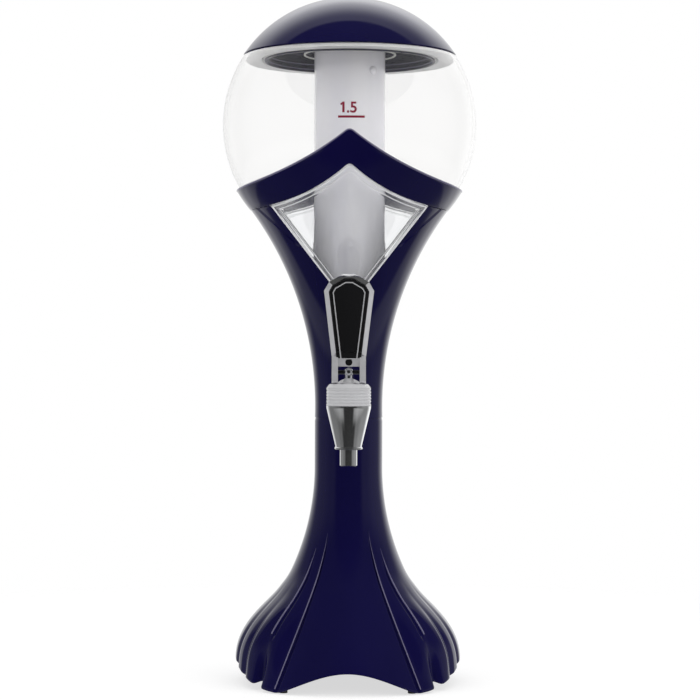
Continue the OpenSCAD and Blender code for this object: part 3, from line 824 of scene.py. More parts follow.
@dataclass(frozen=True)
class Kite:
    """Window outline: straight lower edges from a rounded foot, under a peaked upper edge."""

    top: PeakEdge
    foot_z: float = 250.4
    slope: float = 1.29
    tip_r: float = 3.4
    field_foot_z: float = 259.5
    field_slope: float = 0.92
    widest: float = 90.0
    halvings: int = 50

    def foot(self, inset: float) -> Triple:
        """Shape of the rounded foot.

        Args:
            inset: Distance inside the outline.

        Returns:
            Height of the sharp foot, of its rounding's middle, and the slope's angle.
        """
        angle = math.atan(self.slope)
        sharp = self.foot_z + inset / math.cos(angle)
        return sharp, sharp + self.tip_r / math.cos(angle), angle

    def low(self, x: float, inset: float = 0.0) -> float:
        """Height of the lower edge.

        Args:
            x: Distance from the middle.
            inset: Distance inside the outline.

        Returns:
            The height at that distance.
        """
        sharp, middle, angle = self.foot(inset)
        if abs(x) < self.tip_r * math.sin(angle):
            return middle - math.sqrt(self.tip_r**2 - x * x)
        return sharp + self.slope * abs(x)

    def half_width(self, z: float) -> float:
        """Half the window's width between its lower edges.

        Args:
            z: Height.

        Returns:
            The half width at that height.
        """
        sharp, middle, angle = self.foot(0.0)
        if z <= middle - self.tip_r:
            return 0.0
        if z < middle - self.tip_r * math.cos(angle):
            return math.sqrt(self.tip_r**2 - (middle - z) ** 2)
        return (z - sharp) / self.slope

    def field_half(self, z: float) -> float:
        """Half the width, at a height, between the outer edges of the window's sunk fields."""
        return (z - self.field_foot_z) / self.field_slope

    def corner(self, inset: float) -> float:
        """Finds where lower and upper edge meet.

        Args:
            inset: Distance inside the outline.

        Returns:
            The distance from the middle.
        """
        near, far = 0.0, self.widest
        for _ in range(self.halvings):
            x = (near + far) / 2.0
            if self.low(x, inset) < self.top.height(x, inset):
                near = x
            else:
                far = x
        return near


LINE = StandLine()
CROWN_TOP = PeakEdge(364.2, (74.0, 330.3), 5.0)
CROWN_LOW = PeakEdge(342.6, (66.0, 316.2), 6.6)
KITE = Kite(CROWN_LOW)
ROUNDS = 60  # steps of a search for a height


@dataclass(frozen=True)
class Flute:
    """Groove or bead that runs down the skirt at one bearing.

    A positive height stands out and a negative one cuts in. It grows between the two heights of
    fade and, where it has a stop, ends between the two heights of that.
    """

    turn: float
    half: float
    height: float
    fade: Point
    stop: Optional[Point] = None
    soft: bool = True

    def rise(self, u: float, z: float) -> float:
        """How far it stands out.

        Args:
            u: Bearing in degrees.
            z: Height.

        Returns:
            The distance from the plain skirt, below 0 in a groove.
        """
        across = vee(u, self.turn, self.half)
        if across == 0.0:
            return 0.0
        along = step(*self.fade, z) * (step(*self.stop, z) if self.stop else 1.0)
        return self.height * along * (ease(across) if self.soft else across)


@dataclass
class FlutedBase:
    """Fluted skirt on feet: a plain flare in front and behind, pleats and toes at the sides.

    A quarter of the skirt is worked out for bearings from 0 to 90 degrees and folded round.
    """

    foot_r: float = 77.0
    foot_turn: float = 37.6
    cleft_step: float = 14.0
    edge_step: float = 27.6
    rear_step: float = 39.4
    front_arch: float = 13.6
    front_power: float = 1.35
    side_arch: float = 18.0
    side_power: float = 1.5
    notch: Point = (3.0, 4.4)
    side_r: float = 75.5
    side_bow: float = 0.0167
    swell_blend: float = 6.0
    swell_trim: float = 1.0
    trim_span: Point = (5.0, -9.0)
    swell_fade: Point = (76.0, 64.0)
    lobe_lead: float = 0.6
    lobe_shares: Point = (0.72, 0.28)
    flare_r: float = 163.9
    flare_z: float = 144.4
    cone_z: float = 65.0
    wall: float = 2.6
    foot_wall: float = 0.6
    foot_span: Point = (0.5, 0.2)
    cleft_z: float = 37.0
    rim_lift: float = 0.6
    top_z: float = 177.5
    seam_round: float = 1.0
    seam_tuck: float = 0.45
    lean: float = 0.11
    lean_z: float = 95.0
    columns: int = 92
    rows: int = 96
    inner_rows: int = 36
    row_power: float = 1.5
    fine: int = 2000
    bead_steps: int = 60
    bead_tip: Point = (0.2, 0.6)
    flutes: tuple[Flute, ...] = field(init=False)
    bearings: list[float] = field(init=False)

    def __post_init__(self) -> None:
        """Works out the flutes and the columns' bearings."""
        self.flutes = self.shapes()
        self.bearings = self.spread()

    @property
    def cleft_turn(self) -> float:
        """Bearing of the cleft between the toes."""
        return self.foot_turn + self.cleft_step

    @property
    def edge_turn(self) -> float:
        """Bearing of the flute behind the second toe."""
        return self.foot_turn + self.edge_step

    @property
    def rear_turn(self) -> float:
        """Bearing of the flute next to the side's middle."""
        return self.foot_turn + self.rear_step

    def shapes(self) -> tuple[Flute, ...]:
        """Lists the grooves, flutes, toes and beads of a quarter.

        Returns:
            The long groove, the pleat's groove, the cleft, two flutes, two toes, the pleat's
            bead and the lip beside the long groove.
        """
        foot, cleft, edge, tip_z = self.foot_turn, self.cleft_turn, self.edge_turn, self.cleft_z
        flute = {"half": 3.4, "height": -1.6, "fade": (72.0, 30.0), "soft": False}
        toe = {"half": 7.0, "height": 1.1, "fade": (64.0, 40.0)}
        return (
            Flute(foot, 1.4, -1.3, (102.0, 78.0)),
            Flute(cleft - 1.2, 1.3, -0.9, (86.0, 70.0), (tip_z - 5.0, tip_z + 1.0)),
            Flute(cleft, 4.2, -4.0, (tip_z + 1.0, 6.0), soft=False),
            Flute(edge, **flute),
            Flute(self.rear_turn, **flute),
            Flute((foot + cleft) / 2.0, **toe),
            Flute((cleft + edge) / 2.0, **toe),
            Flute(cleft + 0.5, 1.35, 0.75, (92.0, 66.0), (tip_z - 1.6, tip_z + 1.2)),
            Flute(foot + 1.7, 1.1, 0.35, (104.0, 84.0)),
        )

    def flare(self, z: float) -> float:
        """Trumpet curve and the straight flare below it.

        Args:
            z: Height.

        Returns:
            The radius at that height.
        """
        top_r = LINE.radius(self.top_z)
        if z > self.flare_z:
            return top_r
        low = max(z, self.cone_z)
        reach = math.sqrt(self.flare_r**2 - (self.flare_z - low) ** 2)
        rise = (self.flare_z - low) / reach
        return top_r + self.flare_r - reach + (low - z) * rise

    def panel(self, z: float) -> float:
        """Radius of the plain front and rear panels at a height."""
        spare = self.flare(0.0) - self.foot_r
        return self.flare(z) - spare * min(1.0, max(0.0, (self.cone_z - z) / self.cone_z)) ** 3

    def swell(self, z: float) -> float:
        """How far the sides stand out beyond the plain flare.

        Args:
            z: Height.

        Returns:
            The distance, which blends softly into the flare.
        """
        short = self.panel(z) - self.side_r + self.side_bow * (z - self.side_arch) ** 2
        soft = (math.hypot(short, self.swell_blend) - short) / 2.0
        return (soft - self.swell_trim * step(*self.trim_span, short)) * step(*self.swell_fade, z)

    def lobe(self, u: float) -> float:
        """Share of the swelling at a bearing.

        Args:
            u: Folded bearing in degrees.

        Returns:
            A share that rises over the first toe and then over the second.
        """
        first = step(self.foot_turn - self.lobe_lead, self.cleft_turn, u)
        second = step(self.cleft_turn, self.edge_turn, u)
        return self.lobe_shares[0] * first + self.lobe_shares[1] * second

    def plain_r(self, u: float, z: float) -> float:
        """Outer radius at a bearing and height, without the flutes."""
        return self.panel(z) + self.lobe(u) * self.swell(z)

    def skirt_r(self, u: float, z: float) -> float:
        """Outer radius at a bearing and height."""
        return self.plain_r(u, z) + sum(flute.rise(u, z) for flute in self.flutes)

    def inner_r(self, u: float, z: float, t: float) -> float:
        """Inner radius at a share t of the way up; it follows only the flutes that cut in."""
        least = min(self.skirt_r(u, z), self.plain_r(u, z))
        return least - self.wall - self.foot_wall * step(*self.foot_span, t)

    def rim_z(self, u: float) -> float:
        """Height of the rim: arches in front and at the sides, a notch at the cleft.

        Args:
            u: Folded bearing in degrees.

        Returns:
            The height.
        """
        if u < self.foot_turn:
            arch = (1.0 - (u / self.foot_turn) ** 2) ** self.front_power
            return self.rim_lift + self.front_arch * arch
        share = (u - self.foot_turn) / (90.0 - self.foot_turn)
        high, half = self.notch
        notch = high * ease(vee(u, self.cleft_turn, half))
        return self.rim_lift + self.side_arch * share**self.side_power + notch

    def spread(self) -> list[float]:
        """Spaces the columns of a quarter, closer together at the flutes.

        Returns:
            The columns' folded bearings.
        """
        crowds = (
            (self.foot_turn, 2.2, 3.2), (self.cleft_turn, 4.0, 2.6),
            (self.edge_turn, 3.4, 1.3), (self.rear_turn, 3.4, 1.3),
        )
        total = [0.0]
        for k in range(self.fine):
            u = 90.0 * (k + 0.5) / self.fine
            crowd = sum(w * math.exp(-(((u - at) / half) ** 2)) for at, half, w in crowds)
            total.append(total[-1] + 1.0 + crowd)
        found, k = [], 0
        for j in range(self.columns + 1):
            goal = total[-1] * j / self.columns
            while k < self.fine - 1 and total[k + 1] < goal:
                k += 1
            found.append(90.0 * (k + (goal - total[k]) / (total[k + 1] - total[k])) / self.fine)
        return found

    def column(self, index: int) -> tuple[float, Callable[[float], float]]:
        """Folds a column into the worked quarter.

        Args:
            index: Place of the column round the skirt.

        Returns:
            Its folded bearing, and the way from a folded bearing back to the full one.
        """
        quarter, rest = divmod(index % (4 * self.columns), self.columns)
        odd = quarter % 2
        base, sign = 90.0 * (quarter + odd), 1 - 2 * odd
        return self.bearings[self.columns - rest if odd else rest], lambda v: base + sign * v

    def spot(self, u: float, r: float, z: float, unfold: Callable[[float], float]) -> Vector:
        """Place at a folded bearing; the pleats lean towards the front as they rise."""
        lean = self.lean * min(z, self.lean_z) * math.sin(math.radians(2.0 * u))
        return polar(r, math.radians(unfold(u - lean)), z)

    def point(self, index: int, row: int) -> Vector:
        """Place of a vertex of the shell.

        Args:
            index: Column of the vertex.
            row: Row of the vertex, up the outside and then down the inside.

        Returns:
            The place in millimetres.
        """
        u, unfold = self.column(index)
        low = self.rim_z(u)
        inside = row >= self.rows
        if inside:
            share = 1.0 - (row - self.rows) / (self.inner_rows - 1)
        else:
            share = row / (self.rows - 1)
        t = share**self.row_power
        z = mixed(low, self.top_z, t)
        round_r = (self.skirt_r(u, low) - self.inner_r(u, low, 0.0)) / 2.0
        tuck = 0.0
        if z - low < round_r:
            tuck = round_r - math.sqrt(max(0.0, round_r**2 - (round_r - z + low) ** 2))
        if not inside and self.top_z - z < self.seam_round:
            tuck = self.seam_tuck * (1.0 - (self.top_z - z) / self.seam_round)
        r = self.inner_r(u, z, t) + tuck if inside else self.skirt_r(u, z) - tuck
        return self.spot(u, r, z, unfold)

    def lines(self) -> Mesh:
        """Thin beads along the long grooves and on the pleats, in a lighter lilac that paints their
        highlight.

        Returns:
            The mesh of all beads.
        """
        beads = (
            (self.foot_turn + 1.3, 3.2, 103.0, 0.42, -0.08),
            (self.cleft_turn + 0.5, self.cleft_z, 91.0, 0.5, 0.0),
        )
        thin, full = self.bead_tip
        paths = []
        for quarter in range(4):
            unfold = self.column(quarter * self.columns + 1)[1]
            for turn, low, high, thick, lift in beads:
                paths.append([
                    (self.spot(turn, self.skirt_r(turn, z) + lift, z, unfold),
                     thick * mixed(thin, 1.0, step(high, mixed(low, high, full), z)))
                    for z in spaced(low, high, self.bead_steps)
                ])
        return cord(paths)

    def build(self) -> None:
        """Spins a closed ribbon of rows and moves every vertex to its place on the shell."""
        count = 4 * self.columns
        height = self.rows + self.inner_rows
        bm = hoop([(height, float(k)) for k in range(height)], count)
        for vert in bm.verts:
            share = math.atan2(vert.co.y, vert.co.x) / FULL_TURN
            vert.co = self.point(round(share * count) % count, round(vert.co.z))
        place("fluted_base", outward(bm), NAVY, Body.STAND, ["base_skirt"], sharp=60.0)
        # The beads' lighter colour is a painted highlight along the grooves
        place("pleat_lines", self.lines(), NAVY_PAINTED_HIGHLIGHT, Body.STAND)


@dataclass
class TrumpetStem:
    """Trumpet-shaped stem with two kite windows, sunk fields beside them, a web and a spigot."""

    field_columns: int = 12
    plain_columns: int = 76
    field_deep: float = 0.8
    field_fade: float = 2.0
    riser: float = 0.9
    least: float = 1.0
    window_z: float = 250.0
    split_z: float = 262.0
    end_z: float = 316.0
    row_counts: tuple[int, int, int] = (36, 28, 44)
    seam_gap: float = 0.1
    web_low: float = 179.6
    web_top: float = 182.4
    web_sink: float = 0.3
    web_steps: int = 96
    stud_gap_r: float = 5.3
    spigot_r: float = 19.6
    spigot_wall: float = 2.2
    spigot_len: float = 26.0
    edge_round: float = 0.4
    edge_angle: float = 55.0

    @property
    def columns(self) -> int:
        """Number of column steps from the front window to the rear one."""
        return 2 * (self.field_columns + 1) + self.plain_columns

    def spread(self, z: float) -> list[float]:
        """Distances along X at which the columns of the front half's fields lie.

        Args:
            z: Height of the row.

        Returns:
            One distance for each column of a field, and one beyond the field's riser.
        """
        near = KITE.half_width(z)
        edge = max(near + self.least, KITE.field_half(z) - self.riser)
        return spaced(near, edge, self.field_columns) + [edge + self.riser]

    def bearing(self, z: float, column: int) -> float:
        """Bearing of a column on the right half, from the front window's edge to the rear window's.

        Args:
            z: Height of the row.
            column: Place of the column, counted from the front window.

        Returns:
            The bearing in radians, from the front.
        """
        radius = LINE.radius(z)
        turns = [math.asin(min(1.0, x / radius)) for x in self.spread(z)]
        last = len(turns) - 1
        if column <= last:
            return turns[column]
        if column >= self.columns - last:
            return math.pi - turns[self.columns - column]
        return mixed(turns[last], math.pi - turns[last], (column - last) / self.plain_columns)

    def sunk(self, z: float, column: int) -> float:
        """Depth of the surface below the plain outline.

        Args:
            z: Height of the row.
            column: Place of the column.

        Returns:
            The depth, which is above 0 only in a field.
        """
        if self.field_columns < column < self.columns - self.field_columns:
            return 0.0
        room = KITE.field_half(z) - self.riser - KITE.half_width(z) - self.least
        return self.field_deep * ease(room / self.field_fade)

    def top_z(self, column: int) -> float:
        """Finds where a column ends under the crown band.

        Args:
            column: Place of the column.

        Returns:
            The height.
        """
        z = self.end_z
        for _ in range(ROUNDS):
            x = LINE.radius(z) * math.sin(self.bearing(z, column))
            z = (z + CROWN_LOW.height(x) - self.seam_gap) / 2.0
        return z

    def shell(self) -> Mesh:
        """Right half as a grid on the outline, mirrored and given its wall.

        Returns:
            The closed shell.
        """
        stops = (LINE.seam_z, self.window_z, self.split_z, self.end_z)
        rows = [LINE.seam_z]
        for low, high, count in zip(stops, stops[1:], self.row_counts):
            rows += spaced(low, high, count)[1:]
        tops = [self.top_z(k) for k in range(self.columns + 1)]

        def spot(column: int, row: int) -> Vector:
            """Place of a vertex; the upper rows close up to the crown band's edge.

            Args:
                column: Column of the vertex.
                row: Row of the vertex.

            Returns:
                The place in millimetres.
            """
            z = rows[row]
            if z > self.split_z:
                share = (z - self.split_z) / (self.end_z - self.split_z)
                z = mixed(self.split_z, tops[column], share)
            return polar(LINE.radius(z) - self.sunk(z, column), self.bearing(z, column), z)

        bm = draped(self.columns, len(rows) - 1, spot)
        everything = bm.verts[:] + bm.edges[:] + bm.faces[:]
        bmesh.ops.mirror(bm, geom=everything, merge_dist=SEAM, axis="X")
        outside = walled(bm, LINE.globe_z, LINE.shell_wall)
        for vert in bm.verts:
            if vert not in outside:
                share = LINE.radius(vert.co.z, LINE.shell_wall) / math.hypot(vert.co.x, vert.co.y)
                vert.co.x, vert.co.y = vert.co.x * share, vert.co.y * share
        return soften(bm, self.edge_round, self.edge_angle)

    def build(self) -> None:
        """Builds the shell with its hidden web and spigot."""
        bm = self.shell()
        web_r = LINE.radius(self.web_top, LINE.shell_wall) + self.web_sink
        tip = self.spigot_r - self.spigot_wall
        low = LINE.seam_z - self.spigot_len
        absorb(bm, lathe([
            (self.stud_gap_r, self.web_low), (tip, self.web_low), (tip, low), (self.spigot_r, low),
            (self.spigot_r, self.web_low), (web_r, self.web_low), (web_r, self.web_top),
            (self.stud_gap_r, self.web_top),
        ], self.web_steps))
        place("trumpet_stem", bm, NAVY, Body.STAND, ["stem_shell"])


@dataclass
class CrownBand:
    """Peaked band round the globe, a little proud of the stem, with rounded edges."""

    proud: float = 0.5
    wall: float = 1.6
    columns: int = 480
    rows: int = 8
    edge_round: float = 0.6
    edge_angle: float = 50.0
    line_r: float = 0.7

    def edge_z(self, edge: PeakEdge, turn: float) -> float:
        """Finds where an edge meets the band's ball.

        Args:
            edge: Upper or lower edge of the band.
            turn: Bearing in radians.

        Returns:
            The height.
        """
        z = edge.side[1]
        for _ in range(ROUNDS):
            z = (z + edge.height(LINE.ball(LINE.ball_r + self.proud, z) * math.sin(turn))) / 2.0
        return z

    def build(self) -> None:
        """Wraps a grid round the ball between the two edges, and lays a line in a lighter lilac on
        the upper one, a painted highlight of that edge.
        """
        ball = LINE.ball_r + self.proud
        turns = spaced(0.0, FULL_TURN, self.columns)
        lows = [self.edge_z(CROWN_LOW, turn) for turn in turns]
        tops = [self.edge_z(CROWN_TOP, turn) for turn in turns]

        def spot(column: int, row: int) -> Vector:
            """Place of a vertex on the ball, for its column and row."""
            z = mixed(lows[column], tops[column], row / self.rows)
            return polar(LINE.ball(ball, z), turns[column], z)

        bm = draped(self.columns, self.rows, spot)
        walled(bm, LINE.globe_z, self.wall)
        soften(bm, self.edge_round, self.edge_angle)
        place("crown", bm, NAVY, Body.STAND, ["crown_band"])
        edge = [
            (polar(LINE.ball(ball, z) - self.line_r, turn, z - 0.5 * self.line_r), self.line_r)
            for turn, z in zip(turns[:-1], tops)
        ]
        # The line's lighter colour paints the highlight of the band's upper edge
        place("crown_line", cord([edge], ring=True), NAVY_PAINTED_HIGHLIGHT, Body.STAND)


@dataclass
class WindowLens:
    """Clear kite lens with a raised, bevelled border.

    Each ring has a distance from the outline and a depth, each rim a distance and a thickness.
    """

    facing: Facing
    gap: float = 0.15
    sunk: float = 0.6
    inset: float = 0.1
    per_side: int = 44
    inner_rings: int = 10
    middle_z: float = 300.0
    edge_round: float = 0.35
    edge_angle: float = 55.0
    rings: tuple[Point, ...] = (
        (0.0, 0.0), (1.2, 0.0), (2.6, 0.0), (3.4, 0.0), (3.8, 0.12), (4.3, 0.5), (4.7, 0.6),
    )
    rims: tuple[Point, ...] = ((0.95, 0.62), (3.5, 0.3))
    rim_sink: float = 0.4

    def outline(self, inset: float) -> list[Point]:
        """Points round the kite at a distance inside its outline.

        Args:
            inset: Distance from the outline.

        Returns:
            Points seen from the front, from the foot over the right corner and the peak.
        """
        far = KITE.corner(inset)
        out = [far * math.sin(angle) for angle in spaced(0.0, math.pi / 2.0, self.per_side)[:-1]]
        back = [far * (1.0 - k / self.per_side) for k in range(self.per_side)]
        right = [(x, KITE.low(x, inset)) for x in out]
        right += [(x, CROWN_LOW.height(x, inset)) for x in back]
        peak = (0.0, CROWN_LOW.height(0.0, inset))
        return right + [peak] + [(-x, z) for x, z in reversed(right[1:])]

    def loops(self) -> list[tuple[list[Point], float]]:
        """All rings from the outline to the middle of the lens, each with its depth.

        Returns:
            Rings of the border, then rings that shrink to the middle.
        """
        found = [(self.outline(self.gap + inset), deep) for inset, deep in self.rings]
        last = found[-1][0]
        for k in range(1, self.inner_rings + 1):
            share = 1.0 - k / self.inner_rings
            ring = [(x * share, mixed(self.middle_z, z, share)) for x, z in last]
            found.append((ring, self.sunk))
        return found

    def build(self) -> None:
        """Wraps the rings of the kite on the stand's outline, gives them a wall and adds rims whose
        pale colour paints the glints of the border's edges.
        """
        loops = self.loops()
        count = len(loops[0][0])

        def spot(column: int, row: int) -> Vector:
            """Place of a vertex on the stand's face, for its column and ring."""
            ring, deep = loops[row]
            return LINE.on_face(*ring[column % count], self.inset + deep)

        bm = draped(count, len(loops) - 1, spot)
        walled(bm, self.middle_z, LINE.shell_wall - self.inset - self.sunk)
        soften(bm, self.edge_round, self.edge_angle, 2)
        rims = [
            [(LINE.on_face(x, z, self.inset + thick * self.rim_sink), thick)
             for x, z in self.outline(inset)]
            for inset, thick in self.rims
        ]
        side, turn = self.facing.name.lower(), self.facing.value
        lens = turned(bm, turn, "Z")
        bead = turned(cord(rims, ring=True), turn, "Z")
        made = place(f"{side}_lens", lens, LENS_CLEAR, Body.STAND, [f"{side}_window"])
        made.visible_shadow = False
        # The rims' pale colour is a painted glint on the clear border
        place(f"{side}_lens_rim", bead, LENS_EDGE_GLINT, Body.STAND).visible_shadow = False


@dataclass
class GlobeTank:
    """Clear globe that narrows into a funnel and a sump, with a ledge round its mouth."""

    wall: float = 2.4
    floor_z: float = 182.4
    ledge_top: float = 420.2
    ledge_low: float = 417.6
    ledge_gap: float = 0.05
    mouth_r: float = 59.2
    mouth_steps: int = 12
    rim_drop: float = 0.3
    rim_cuts: Point = (0.6, 0.5)
    stud_r: float = 5.0
    stud_end: float = 166.6
    stud_cut: float = 0.6
    boss: Point = (5.3, 8.6)
    boss_ends: Point = (12.0, 17.5)
    boss_steps: int = 64
    shank_z: float = 192.5
    rows: int = 66
    steps: int = 224

    def vessel(self) -> Mesh:
        """Globe, funnel, sump and stud, with the boss for the tap's shank.

        Returns:
            The closed mesh of the tank without its ledge.
        """
        inset, rim_z = LINE.tank_inset, self.ledge_top - self.rim_drop
        outer = LINE.curve(inset, self.floor_z, rim_z, self.rows)
        inner = LINE.curve(inset + self.wall, self.floor_z + self.wall, rim_z, self.rows)
        out_cut, in_cut = self.rim_cuts
        bm = lathe([
            (0.0, self.stud_end), (self.stud_r - self.stud_cut, self.stud_end),
            (self.stud_r, self.stud_end + self.stud_cut), (self.stud_r, self.floor_z),
            *outer, (outer[-1][0] - out_cut, self.ledge_top),
            (inner[-1][0] + in_cut, self.ledge_top), *reversed(inner),
            (0.0, self.floor_z + self.wall),
        ], self.steps, ring=False)
        (bore, out), (near, far) = self.boss, self.boss_ends
        section = [(bore, near), (out, near), (out, far), (bore, far)]
        boss = turned(lathe(section, self.boss_steps), 90.0, "X")
        absorb(bm, shifted(boss, (0.0, 0.0, self.shank_z)))
        return bm

    def ledge(self) -> Mesh:
        """Frosted ledge round the filling mouth, with a rounded inner edge.

        Returns:
            The closed mesh of the ledge.
        """
        inset = LINE.tank_inset + self.wall + self.ledge_gap
        half = (self.ledge_top - self.ledge_low) / 2.0
        middle = (self.mouth_r + half, self.ledge_low + half)
        rim = arc(middle, half, 90.0, 270.0, self.mouth_steps)
        top, low = ((LINE.radius(z, inset), z) for z in (self.ledge_top, self.ledge_low))
        return lathe([top] + rim + [low], self.steps)

    def build(self) -> None:
        """Builds the clear vessel and its ledge."""
        made = place("globe", self.vessel(), TANK_CLEAR, Body.STAND, ["globe_tank"])
        made.visible_shadow = False
        place("mouth_ledge", self.ledge(), LEDGE_FROST, Body.STAND)


@dataclass
class CapacityMark:
    """Red capacity number with a line under it, printed on the front of the globe."""

    fraction: str = ".5"
    fraction_x: float = 1.4
    cap_share: float = 0.7
    weight: float = 0.022
    one_x: float = -4.0
    stroke: float = 1.45
    flag: Point = (2.5, 1.1)
    flag_lean: float = 38.0
    flag_share: float = 0.8
    line_z: float = 371.2
    line_x: float = 1.1
    width: float = 17.0
    line_t: float = 1.45
    rise: float = 2.7
    figure_h: float = 6.8
    lift: float = 0.06
    cuts: tuple[int, int] = (24, 2)

    def bar(self, size: Point, middle: Point, lean: float = 0.0) -> Mesh:
        """Flat bar in X and Z.

        Args:
            size: Length and thickness.
            middle: Place of its middle.
            lean: Turn in degrees in its plane.

        Returns:
            The bar, cut fine enough to follow the globe.
        """
        bm = bmesh.new()
        bmesh.ops.create_grid(bm, x_segments=self.cuts[0], y_segments=self.cuts[1], size=0.5)
        bmesh.ops.scale(bm, vec=(*size, 1.0), verts=bm.verts)
        turned(turned(bm, lean, "Z"), 90.0, "X")
        return shifted(bm, (middle[0], 0.0, middle[1]))

    def figures(self) -> Mesh:
        """Figures as a flat mesh: the first is a bar with a flag, the rest is set in type.

        Returns:
            The flat mesh in X and Z.
        """
        curve = bpy.data.curves.new("figures", "FONT")
        curve.body = self.fraction
        curve.align_x = "CENTER"
        curve.size = self.figure_h / self.cap_share
        curve.offset = self.weight * curve.size
        low = self.line_z + self.rise
        bm = shifted(turned(meshed(curve), 90.0, "X"), (self.fraction_x, 0.0, low))
        middle = (self.one_x, low + self.figure_h / 2.0)
        absorb(bm, self.bar((self.figure_h, self.stroke), middle, 90.0))
        length, drop = self.flag
        tip = (self.one_x - length / 3.0, low + self.figure_h - drop)
        absorb(bm, self.bar((length, self.stroke * self.flag_share), tip, self.flag_lean))
        return bm

    def build(self) -> None:
        """Lays the line and the figures on the globe."""
        mark = self.bar((self.width, self.line_t), (self.line_x, self.line_z))
        absorb(mark, self.figures())
        for vert in mark.verts:
            ball = LINE.ball(LINE.globe_r + self.lift, vert.co.z)
            vert.co.y = -math.sqrt(ball**2 - vert.co.x**2)
        for face in outward(mark).faces:
            if face.normal.y > 0.0:
                face.normal_flip()
        place("capacity_mark", mark, RED_PRINT, Body.STAND)


@dataclass
class DomeLid:
    """Dome lid with its ribbed underside, tube socket and seal."""

    lid_r: float = 85.8
    rim_z: float = 420.5
    rim_round: float = 0.8
    wall: float = 2.2
    plate_z: float = 428.0
    plate_t: float = 2.0
    plate_gap: float = 0.1
    plate_round: float = 0.3
    plate_angle: float = 42.0
    cup_r: float = 24.5
    cup_out: float = 28.5
    cup_roof: float = 439.5
    cup_lip: float = 3.0
    roof_t: float = 1.5
    collar: Point = (30.0, 31.2)
    collar_z: float = 422.0
    collar_lip: float = 0.5
    ring_r: float = 0.66
    ribs: tuple[float, ...] = (38.0, 46.0)
    rib_size: Point = (1.0, 1.2)
    skirt: Point = (55.6, 57.6)
    skirt_z: float = 416.8
    skirt_lines: Point = (418.6, 422.0)
    skirt_line_r: float = 0.4
    seal_rise: float = 1.0
    seal: tuple[Point, ...] = (
        (57.6, 0.0), (58.6, 0.0), (58.9, 0.5), (58.3, 1.0), (58.9, 1.5), (58.6, 2.0), (57.6, 2.0),
    )
    steps: int = 192
    dome_steps: tuple[int, int, int] = (60, 48, 8)
    ring_steps: int = 24

    def dome(self) -> Mesh:
        """Dome with a rounded rim.

        Returns:
            The closed mesh of the dome.
        """
        centre, low = (0.0, LINE.globe_z), self.rim_z + self.rim_round
        inner_r = self.lid_r - self.wall
        start, end = (math.degrees(math.asin((low - centre[1]) / r)) for r in (self.lid_r, inner_r))
        outer_steps, inner_steps, rim_steps = self.dome_steps
        outer = arc(centre, self.lid_r, start, 90.0, outer_steps)
        inner = arc(centre, inner_r, 90.0, end, inner_steps)
        middle = (outer[0][0] + inner[-1][0]) / 2.0
        half = (outer[0][0] - inner[-1][0]) / 2.0
        rim = [
            (middle + half * math.cos(a), low - self.rim_round * math.sin(a))
            for a in spaced(0.0, math.pi, rim_steps)[1:-1]
        ]
        top, under = (0.0, outer[-1][1]), (0.0, inner[0][1])
        section = [top] + outer[-2::-1] + rim + inner[:0:-1] + [under]
        return lathe(section, self.steps, ring=False)

    def plate(self) -> Mesh:
        """Underside with the tube's socket, a thin collar, ribs and the skirt in the mouth.

        Returns:
            The closed mesh of the underside.
        """
        low, high = self.plate_z, self.plate_z + self.plate_t
        lip, roof = low - self.cup_lip, self.cup_roof + self.roof_t
        out_r = LINE.ball(self.lid_r - self.wall, high) - self.plate_gap
        (near, far), (skirt_in, skirt_out) = self.collar, self.skirt
        section = [
            (0.0, self.cup_roof), (self.cup_r, self.cup_roof), (self.cup_r, lip),
            (self.cup_out, lip), (self.cup_out, low - self.collar_lip),
            (near, low - self.collar_lip), (near, self.collar_z), (far, self.collar_z), (far, low),
        ]
        wide, deep = self.rib_size
        for r in self.ribs:
            section += [(r, low), (r, low - deep), (r + wide, low - deep), (r + wide, low)]
        section += [
            (skirt_in, low), (skirt_in, self.skirt_z), (skirt_out, self.skirt_z), (skirt_out, low),
            (out_r, low), (out_r, high), (self.cup_out, high), (self.cup_out, roof), (0.0, roof),
        ]
        bm = lathe(section, self.steps, ring=False)
        return soften(bm, self.plate_round, self.plate_angle, 2)

    def build(self) -> None:
        """Builds the lid's pieces."""
        place("lid", self.dome(), NAVY, Body.LID, ["lid_dome"])
        # The underside's darker navy is painted shade; its low gloss is the finish
        place("lid_underside", self.plate(), NAVY_DULL_SHADED, Body.LID, ["lid_plate"])
        low = self.skirt_z + self.seal_rise
        seal = lathe([(r, low + rise) for r, rise in self.seal], self.steps)
        place("mouth_seal", seal, SILICONE, Body.LID, ["lid_seal"])
        middle = (sum(self.collar) / 2.0, self.collar_z)
        ring = lathe(arc(middle, self.ring_r, 0.0, 360.0, self.ring_steps)[:-1], self.steps)
        place("socket_ring", ring, NYLON, Body.LID)
        # Two rings on the skirt in the lighter navy: painted highlights on the underside
        turns = spaced(0.0, FULL_TURN, self.steps)[:-1]
        rings = [
            [(polar(self.skirt[0], turn, z), self.skirt_line_r) for turn in turns]
            for z in self.skirt_lines
        ]
        place("skirt_rings", cord(rings, ring=True), NAVY_PAINTED_HIGHLIGHT, Body.LID)


